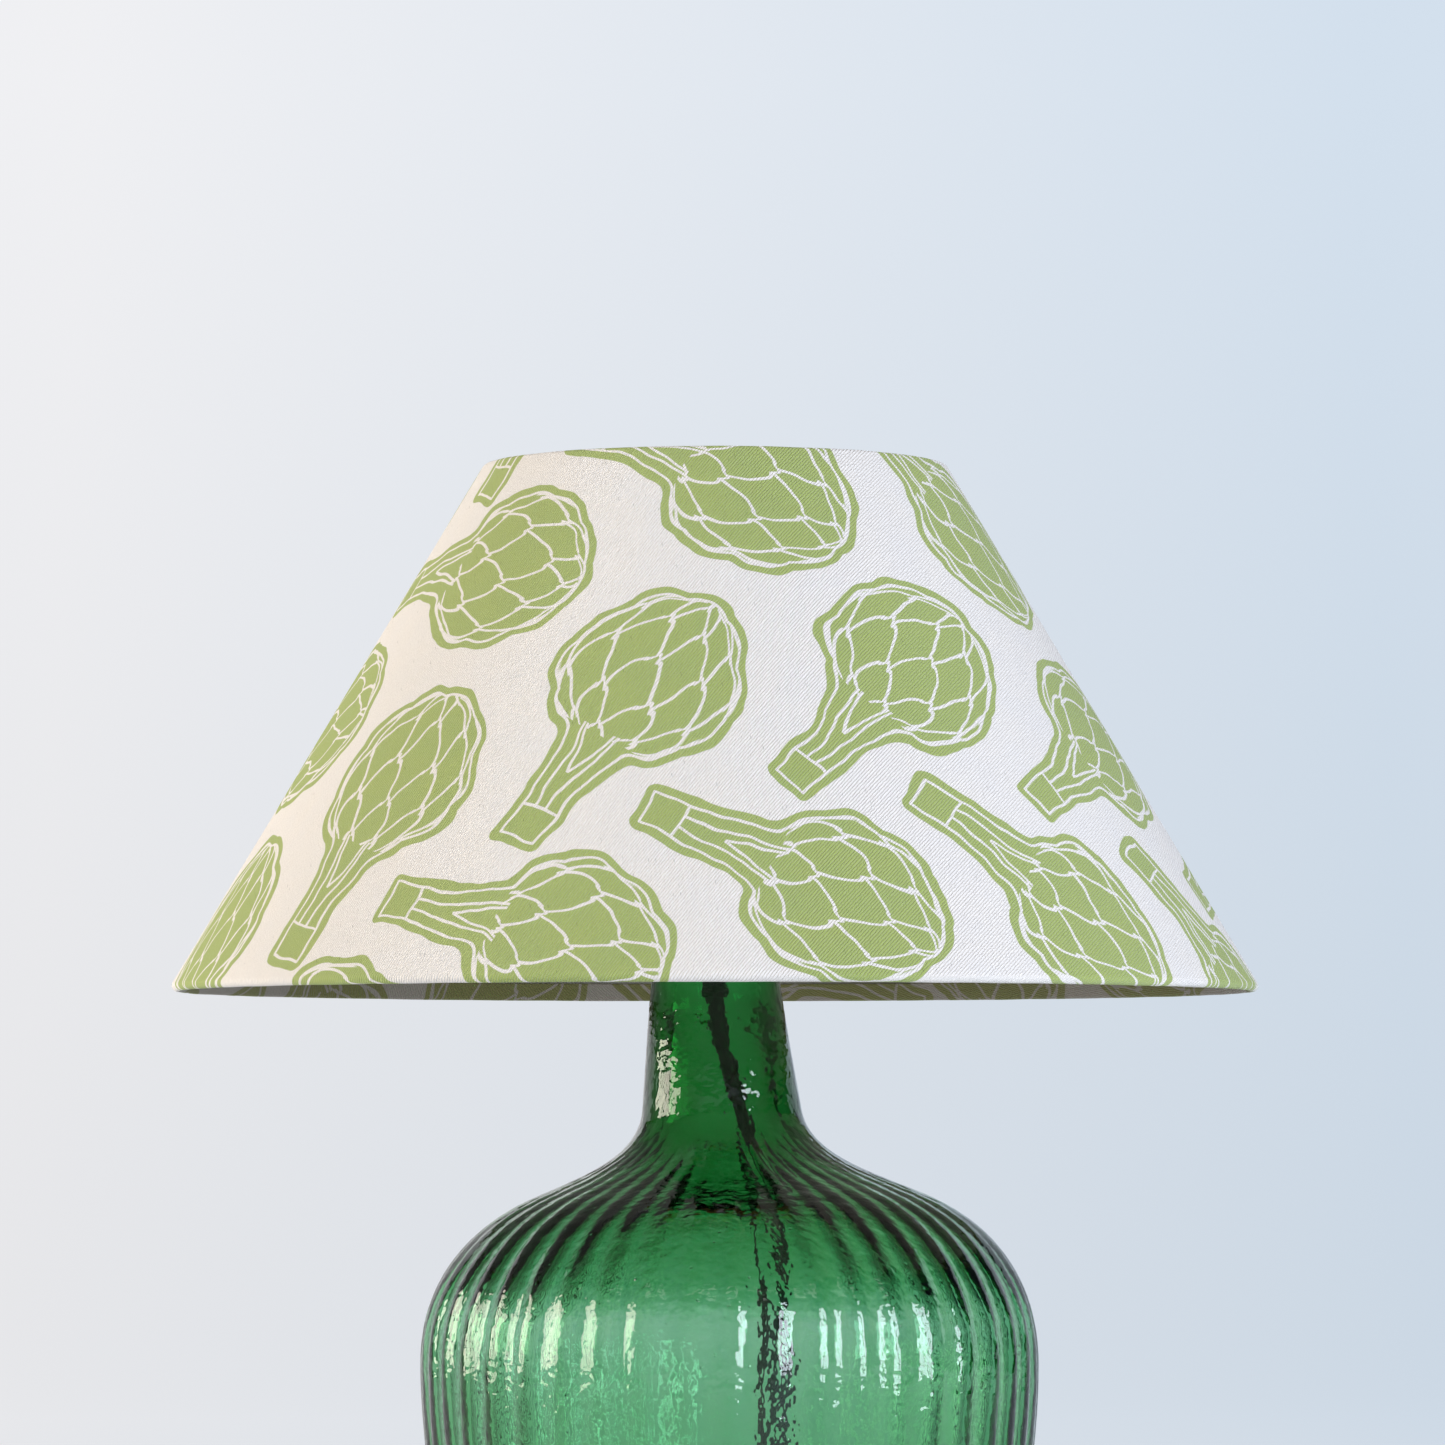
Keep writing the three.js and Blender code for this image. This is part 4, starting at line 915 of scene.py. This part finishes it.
def addNeck(n):
    base, top, r, bore = n["bungBase"], n["bungTop"], n["bungRadius"], n["bore"]
    bung = softened([(bore, base), (r - 1.5, base), (r, top - 8), (r, top), (bore, top)], 1.2)
    finishPiece(spun("stopper", bung, 72), rubber, replaces=("neck_bung",))
    under = base - n["gap"]
    low = under - n["washer"]
    washer = softened([(bore, low), (12, low), (12, under), (bore, under)], 0.3)
    finishPiece(spun("stopper_washer", washer), nickelPlate, replaces=("bung_washer",))
    nut = hexNut("stopper_nut", low - n["gap"] - n["nutHeight"])
    finishPiece(nut, satinBrass, replaces=("bung_nut",))
    thread = threadedSide(n["tubeRadius"], n["tubeBase"] + 0.6, n["tubeTop"] - 0.6, n["threadPitch"], 0.45)
    tube = ([(n["tubeBore"], n["tubeBase"]), (n["tubeRadius"] - 0.7, n["tubeBase"])] + thread
            + [(n["tubeRadius"] - 0.7, n["tubeTop"]), (n["tubeBore"], n["tubeTop"])])
    finishPiece(spun("black_tube", tube, 48), blackOxide, replaces=("threaded_tube",), angle=50)
    under, inner, outer = n["mouth"] + n["gap"], n["capInner"], n["capOuter"]
    cap = softened([(bore, under), (inner, under), (inner, under - 7), (outer, under - 7),
                    (outer, under + 0.8), (outer - 2, under + 2.2), (14, under + 4.6), (bore, under + 4.6)], 0.9)
    finishPiece(spun("mouth_cap", cap, 96), satinBrass, replaces=("neck_cap",))
    finishPiece(hexNut("mouth_nut", under + 4.6 + n["gap"]), satinBrass, replaces=("cap_nut",))


addNeck(neck)

holderSize = {"base": 382.0, "radius": 19.0, "wall": 2.1, "collar": 9.5, "capHeight": 24.0,
              "skirtBase": 406.3, "skirtHeight": 36.0, "insertTop": 416.3, "keyHeight": 411.3, "keyBore": 2.6,
              "shellOuter": 14.2, "shellBase": 416.6, "shellHeight": 22.0, "threadFrom": 418.5}
clampSize = {"inner": 19.3, "radius": 27.0, "height": 4.0, "at": (419.8, 426.0), "knurls": 60,
             "knurlDepth": 0.6}


def addHolder(h):
    base, r, inner = h["base"], h["radius"], h["radius"] - h["wall"]
    capTop = base + h["capHeight"]
    cap = softened([(5.3, base), (h["collar"], base), (h["collar"], base + 5), (r - 4, base + 9.5),
                    (r, base + 15), (r, capTop), (inner, capTop), (inner, base + 16), (inner - 4, base + 12),
                    (5.3, base + 9)], 1.6, 4)
    finishPiece(spun("holder_top", cap, 80), satinBrass, replaces=("holder_cap",))
    s, top = h["skirtBase"], h["skirtBase"] + h["skirtHeight"]
    bead = [(r - 0.4, s), (r, s + 0.4), (r, s + 2.2), (r - 0.4, s + 2.6), (r - 0.4, s + 3.2), (r, s + 3.6)]
    thread = threadedSide(r, h["threadFrom"], top - 1, 1.6, 0.4)
    sleeve = ([(inner, s)] + bead + [(r, h["threadFrom"] - 1)] + thread
              + [(r - 0.5, top - 0.3), (r - 1.0, top), (inner, top)])
    skirt = spun("holder_sleeve", sleeve, 96)
    cutAway(skirt, cutter(h["keyBore"], 10, 27, 32, (0, 90, 0), (0, 0, h["keyHeight"])))
    finishPiece(skirt, satinBrass, replaces=("holder_skirt",))
    inside, low, high = inner - 0.3, s + 0.3, h["insertTop"]
    core = spun("holder_core", softened([(0, low), (inside, low), (inside, high), (0, high)], 0.6))
    cutAway(core, cutter(h["keyBore"], 11.7, 27, 32, (0, 90, 0), (0, 0, h["keyHeight"])))
    finishPiece(core, porcelain, replaces=("holder_insert",))
    low, high, out = h["shellBase"], h["shellBase"] + h["shellHeight"], h["shellOuter"]
    shell = softened([(out - 0.7, low), (out, low), (out, high), (out - 0.7, high)], 0.2)
    finishPiece(spun("holder_shell", shell), satinBrass, replaces=("screw_shell",))


def addClamps(c):
    for name, base in zip(("shade_ring_lower", "shade_ring_upper"), c["at"]):
        r, top = c["radius"], base + c["height"]
        outline = [(c["inner"], base), (r - 1.4, base), (r - 0.5, base + 0.4), (r, base + 1.0),
                   (r, top - 1.0), (r - 0.5, top - 0.4), (r - 1.4, top), (c["inner"], top)]
        ring = spun("knurled_" + name, outline, c["knurls"] * 6)
        for vertex in ring.data.vertices:
            x, y, z = vertex.co
            radius = math.hypot(x, y) * 1000
            if radius > r - 0.7:
                cut = c["knurlDepth"] * (1 - math.cos(c["knurls"] * math.atan2(y, x))) / 2
                vertex.co = (x * (radius - cut) / radius, y * (radius - cut) / radius, z)
        finishPiece(ring, satinBrass, replaces=(name,))


keySize = {"height": 411.3, "from": 12.0, "radius": 2.2, "knob": (22.5, 35.5), "halfWidth": 6.0,
           "halfThick": 2.1}


def addKey(k):
    # the flat brass key: its faces dished by the press, its edge rounded, on a shouldered shaft
    (low, high), wide, thick = k["knob"], k["halfWidth"], k["halfThick"]
    leaf = block("key_leaf", (low, -thick, -wide), (high, thick, wide), 0)
    makeActive(leaf)
    bpy.ops.object.mode_set(mode="EDIT")
    bpy.ops.mesh.select_all(action="DESELECT")
    bpy.ops.object.mode_set(mode="OBJECT")
    for edge in leaf.data.edges:
        a, b = (leaf.data.vertices[i].co for i in edge.vertices)
        edge.select = abs(a.y - b.y) > 0.001
    bpy.ops.object.mode_set(mode="EDIT")
    bpy.ops.mesh.select_mode(type="EDGE")
    bpy.ops.mesh.bevel(offset=0.0035, segments=8)
    bpy.ops.mesh.select_all(action="DESELECT")
    bpy.ops.object.mode_set(mode="OBJECT")
    for face in leaf.data.polygons:
        face.select = abs(face.normal.y) > 0.9
    bpy.ops.object.mode_set(mode="EDIT")
    bpy.ops.mesh.select_mode(type="FACE")
    bpy.ops.mesh.inset(thickness=0.0011, depth=0.0)
    bpy.ops.mesh.inset(thickness=0.0007, depth=-0.0006)
    bpy.ops.object.mode_set(mode="OBJECT")
    applyModifier(leaf, "BEVEL", width=0.00035, segments=3)
    profile = [(0, k["from"]), (k["radius"] - 0.3, k["from"]), (k["radius"], k["from"] + 0.3),
               (k["radius"], 20.4), (3.1, 20.8), (3.3, 21.6), (2.9, 22.5), (2.6, 24.4), (0, 24.6)]
    shaft = moved(spun("key_shaft", profile, 40), (0, 0, 0), (0, 90, 0))
    key = moved(joinPieces(leaf, shaft), (0, 0, k["height"]))
    key.name = "turn_key"
    finishPiece(key, satinBrass, "switch_key", replaces=("switch_key",))


addHolder(holderSize)
addClamps(clampSize)
addKey(keySize)
print("lampholder and key in place")


bulbSize = {"capBase": 423.5, "capRadius": 13.2, "capHeight": 21.0, "turns": 5, "collarBase": 420.2,
            "glassBase": 444.8, "centre": 493.9, "radius": 30.0, "neckRadius": 11.8, "wall": 1.0}


def addBulb(b):
    base, r = b["capBase"], b["capRadius"]
    pitch = (b["capHeight"] - 4) / b["turns"]
    thread = []
    for i in range(b["turns"] * 8 + 1):
        share = i / 8
        thread.append((r - 0.45 - 0.45 * math.cos(2 * math.pi * share), base + 2 + pitch * share))
    top = base + b["capHeight"]
    cap = spun("screw_cap", [(0, base), (r - 2.4, base), (r - 1.5, base + 0.6)] + thread
               + [(r - 0.9, top - 1.6), (r - 0.5, top - 1.2), (r - 0.4, top), (0, top)], 72)
    finishPiece(cap, nickelPlate, replaces=("bulb_cap",))
    low, high = b["collarBase"], base - 0.3
    collar = softened([(0, low), (5.5, low), (r - 2, high), (0, high)], 0.4)
    finishPiece(spun("bulb_collar", collar, 48), rubber, replaces=("bulb_insulator",))
    line = [(b["neckRadius"], b["glassBase"]), (b["neckRadius"] + 0.3, b["glassBase"] + 3)]
    waist = math.radians(-34)
    join = (b["radius"] * math.cos(waist), b["centre"] + b["radius"] * math.sin(waist))
    line += bezier(line[-1], (b["neckRadius"] + 1.6, 461), (join[0] - 7.5, join[1] - 11.2), join, 14)
    for i in range(1, 25):
        a = waist + (math.pi / 2 - waist) * i / 24
        line.append((max(b["radius"] * math.cos(a), 0), b["centre"] + b["radius"] * math.sin(a)))
    line[-1] = (0, line[-1][1])
    hollow = [(max(r0, 0), z0) for r0, z0 in movedIn(line, lambda z: b["wall"])]
    hollow[-1] = (0, line[-1][1] - b["wall"])
    hollow[0] = (b["neckRadius"] - b["wall"], b["glassBase"])
    glass = spun("bulb_envelope", line + hollow[::-1], 72)
    finishPiece(glass, milkGlass, replaces=("bulb_glass",), angle=80)


carrierSize = {"inner": 19.3, "outer": 31.0, "thick": 1.6, "base": 424.1, "wire": 1.6, "from": 426.0,
               "to": 515.7, "topRadius": 38.0, "topAt": 517.6,
               "bow": ((29.4, 0), (29.4, 0.06), (33.4, 0.2), (41, 0.45), (43, 0.66), (40, 0.88), (38, 0.97),
                       (38, 1))}


def addCarrier(c):
    low, high, inner, outer = c["base"], c["base"] + c["thick"], c["inner"], c["outer"]
    plate = softened([(inner, low), (outer, low), (outer, high), (inner, high)], 0.4)
    finishPiece(spun("carrier_plate", plate, 96), satinBrass, replaces=("carrier_base",))
    hoop = wire("carrier_hoop", circle(c["topRadius"], c["topAt"], 32), c["wire"], closed=True, sides=5)
    finishPiece(hoop, satinBrass, replaces=("carrier_top_ring",))
    for side, name in ((-1, "carrier_wire_left"), (1, "carrier_wire_right")):
        path = [(side * x, 0, c["from"] + (c["to"] - c["from"]) * share) for x, share in c["bow"]]
        bowed = wire("bowed_" + name, path, c["wire"], sides=5, finer=8)
        finishPiece(bowed, satinBrass, replaces=(name,))


addBulb(bulbSize)
addCarrier(carrierSize)
print("bulb and carrier in place")


shade = {"bottom": (222.6, 332.4), "top": (95.1, 546.6), "ringWire": 1.5, "armWire": 1.5, "roll": 2.1,
         "cloth": 0.6, "hem": 7.0, "overlap": 12.0, "hubRadius": 38.0, "hubHeight": 521.0,
         "arms": (90, 210, 330), "rims": ((225, 330), (97.5, 549)), "around": 360, "pucker": 0.14}
clothMargin = (0.46, 0.01)
hemStart = 447.5  # in mm from the centre of the flat cut


# the middle of the cloth, from the lower hem's edge to the upper one's: each point and the way out there
def shadeSection(s):
    bottom, top = Vector(s["bottom"]), Vector(s["top"])
    up = (top - bottom).normalized()
    out = Vector((up.y, -up.x))
    roll = s["roll"]
    made = []

    def put(centre, along, away, outwards):
        made.append((centre + up * along + out * away, outwards))

    for along in (s["hem"], s["hem"] * 0.66, s["hem"] * 0.33):
        put(bottom, along, -roll, -out)
    for i in range(11):
        a = math.radians(-90 + 18 * i)
        put(bottom, -roll * math.cos(a), roll * math.sin(a), out * math.sin(a) - up * math.cos(a))
    slant = (top - bottom).length
    for i in range(1, 28):
        put(bottom, slant * i / 28, roll, out)
    for i in range(11):
        a = math.radians(90 - 18 * i)
        put(top, roll * math.cos(a), roll * math.sin(a), out * math.sin(a) + up * math.cos(a))
    for along in (s["hem"] * 0.33, s["hem"] * 0.66, s["hem"]):
        put(top, -along, -roll, -out)
    return made


def addCloth(s):
    section = shadeSection(s)
    (lowRadius, lowHeight), (highRadius, highHeight) = s["rims"]
    slant = math.hypot(lowRadius - highRadius, highHeight - lowHeight)
    opening = (lowRadius - highRadius) / slant
    count = len(section)
    outside = [i for i, (p, outwards) in enumerate(section) if 13 <= i < count - 13]
    flat = [0.0] * count  # the distance from the cut's centre
    for i in outside:
        flat[i] = highRadius / opening + (highHeight - section[i][0].y) / (highHeight - lowHeight) * slant
    for i in range(outside[-1] + 1, count):
        flat[i] = flat[i - 1] - (section[i][0] - section[i - 1][0]).length
    for i in range(outside[0] - 1, -1, -1):
        flat[i] = flat[i + 1] + (section[i][0] - section[i + 1][0]).length
    columns = [(i / s["around"], 0.0) for i in range(s["around"] + 1)]
    columns += [(1.0, s["overlap"] * k / 5) for k in range(1, 6)]
    vertices, cut = [], []
    for share, beyond in columns:
        for i, (place, outwards) in enumerate(section):
            angle = -math.pi + 2 * math.pi * share + beyond / place.x
            sine, cosine = math.sin(angle), math.cos(angle)
            left = (1 - share) * 2 * math.pi * place.x  # how far this point still is from the overlap
            lift = 0.72 * (1.0 if beyond else eased(5.0, 0.5, left) if left < 5.0 else 0.0)
            lift += s["pucker"] * noise.noise(Vector((sine * place.x / 16, cosine * place.x / 16, i / 6)))
            point = place + outwards * lift
            vertices.append((point.x * sine / 1000, -point.x * cosine / 1000, point.y / 1000))
            turned = angle * opening
            cut.append((flat[i] * math.sin(turned) / 1000 + clothMargin[0],
                        flat[i] * math.cos(turned) / 1000 + clothMargin[1]))
    faces = [(a * count + i, (a + 1) * count + i, (a + 1) * count + i + 1, a * count + i + 1)
             for a in range(len(columns) - 1) for i in range(count - 1)]
    mesh = bpy.data.meshes.new("printed_cloth")
    mesh.from_pydata(vertices, [], faces)
    layer = mesh.uv_layers.new(name="flatCut")
    for loop in mesh.loops:
        layer.data[loop.index].uv = cut[loop.vertex_index]
    cloth = bpy.data.objects.new("printed_cloth", mesh)
    bpy.context.scene.collection.objects.link(cloth)
    applyModifier(cloth, "SOLIDIFY", thickness=s["cloth"] / 1000, offset=0, use_even_offset=True)
    finishPiece(cloth, printedCloth(), replaces=("shade_cloth",), angle=60)
    return cloth


def addShadeFrame(s):
    rings = [("frame_bottom_ring", "shade_bottom_ring", *s["bottom"], s["ringWire"]),
             ("frame_top_ring", "shade_top_ring", *s["top"], s["ringWire"]),
             ("frame_hub_ring", "shade_hub_ring", s["hubRadius"], s["hubHeight"], s["armWire"])]
    for name, node, radius, height, thick in rings:
        ring = wire(name, circle(radius, height, 48), thick, closed=True, sides=4)
        finishPiece(ring, whiteEpoxy, replaces=(node,))
    start, end = s["hubRadius"] + s["armWire"] + 0.3, s["top"][0] - s["ringWire"] - 0.3
    rise = s["top"][1] - s["hubHeight"]
    for i, degrees in enumerate(s["arms"]):
        c, n = math.cos(math.radians(degrees)), math.sin(math.radians(degrees))
        path = [((start + (end - start) * t) * c, (start + (end - start) * t) * n, s["hubHeight"] + rise * t)
                for t in (0, 0.1, 0.5, 0.9, 1)]
        arm = wire("frame_arm_" + str(i + 1), path, s["armWire"], sides=4)
        finishPiece(arm, whiteEpoxy, replaces=("shade_arm_" + str(i + 1),))


def addLiner(s):
    bottom, top = Vector(s["bottom"]), Vector(s["top"])
    up = (top - bottom).normalized()
    out = Vector((up.y, -up.x))
    low, high = bottom + up * 2.7, top - up * 2.7
    ends = [low + out * 1.0, low + out * 1.5, high + out * 1.5, high + out * 1.0]
    liner = spun("lining_sheet", [tuple(p) for p in ends], 180)
    finishPiece(liner, liningSheet, replaces=("shade_liner",))


addShadeFrame(shade)
addLiner(shade)
cloth = addCloth(shade)
print("shade covered")


innerRoute = [(0, 0, 394), (0, 0, 360), (0, 0, 335), (0.3, 0.2, 322), (3, 2, 307), (9, 6, 288), (15, 11, 266),
              (19, 16, 243), (22, 24, 208), (24, 34, 168), (24, 45, 126), (20, 58, 86), (13.5, 71, 58),
              (8.5, 82, 42), (6.6, 88, 37), (6, grommetLow.y, 34),
              (6, (grommetLow.y + grommetHigh.y) / 2 + 1, 34)]
flex = wire("flex_in_bottle", innerRoute, cordSize["radius"], sides=5, finer=6)
finishPiece(flex, blackPvc, replaces=("inner_flex",))

pinSize = {"spacing": 22.2, "lineY": -6.0, "line": (6.35, 4.0, 17.7), "earth": (4.0, 8.0, 22.7),
           "floor": 15.0}


def addPlug(p, pins):
    half, end = p["width"] / 2, p["length"] / 2
    body = block("plug_shell", (-half, -end, 0), (half, end, p["height"]), 0)
    makeActive(body)
    bpy.ops.object.mode_set(mode="EDIT")
    bpy.ops.mesh.select_all(action="DESELECT")
    bpy.ops.object.mode_set(mode="OBJECT")
    for edge in body.data.edges:
        a, b = (body.data.vertices[i].co for i in edge.vertices)
        edge.select = abs(a.z - b.z) > 0.01
    bpy.ops.object.mode_set(mode="EDIT")
    bpy.ops.mesh.select_mode(type="EDGE")
    bpy.ops.mesh.bevel(offset=0.009, segments=8)
    bpy.ops.object.mode_set(mode="OBJECT")
    applyModifier(body, "BEVEL", width=0.0022, segments=4)
    tools = []
    for side in (-1, 1):  # grip grooves down both flanks
        for k in range(4):
            y = -end + 11 + 3.4 * k
            tools.append(cutter(0.9, -1, p["height"] - 4, 16, place=(side * (half + 0.25), y, 0)))
    above = p["height"] + 5
    tools.append(block("fuse_recess", (-4.8, -5 - 6.8, p["height"] - 5.3), (4.8, -5 + 6.8, above), 0))
    places = [("line", -pins["spacing"] / 2, pins["lineY"], *pins["line"]),
              ("neutral", pins["spacing"] / 2, pins["lineY"], *pins["line"]),
              ("earth", 0, pins["lineY"] + pins["spacing"], *pins["earth"])]
    for name, x, y, wide, deep, reach in places:
        w, d = wide / 2 + 0.3, deep / 2 + 0.3
        tools.append(block("pin_slot", (x - w, y - d, pins["floor"] - 0.3), (x + w, y + d, above), 0))
    cutAway(body, *tools)
    made = [body]
    for name, x, y, wide, deep, reach in places:
        w, d, top = wide / 2, deep / 2, p["height"] + reach
        made.append(block("pin_" + name, (x - w, y - d, pins["floor"]), (x + w, y + d, top), 0.7))
    profile = [(3.8, 0), (5.4, 0)]
    for k in range(5):  # ribs with gaps between them, so that it bends
        z, r = 2.0 + 3.8 * k, 5.4 - 0.19 * k
        profile += [(r, z), (r - 0.9, z + 0.4), (r - 0.95, z + 1.3), (r - 0.1, z + 1.7)]
    profile += [(4.4, 21.6), (4.2, 22), (3.8, 22)]
    made.append(moved(spun("plug_relief", profile, 40), (0, -end - 0.3, p["height"] / 2), (90, 0, 0)))
    nodes = ["plug_body"] + ["plug_pin_" + place[0] for place in places] + ["plug_strain_relief"]
    for piece, node in zip(made, nodes):
        moved(piece, (*p["place"], 0), (0, 0, p["turn"]))
        if "pin" in node:
            finishPiece(piece, satinBrass, replaces=(node,))
        else:
            finishPiece(piece, blackMoulding, replaces=(node,))
    return made


plugPieces = addPlug(plugSize, pinSize)
print("plug and cords in place")
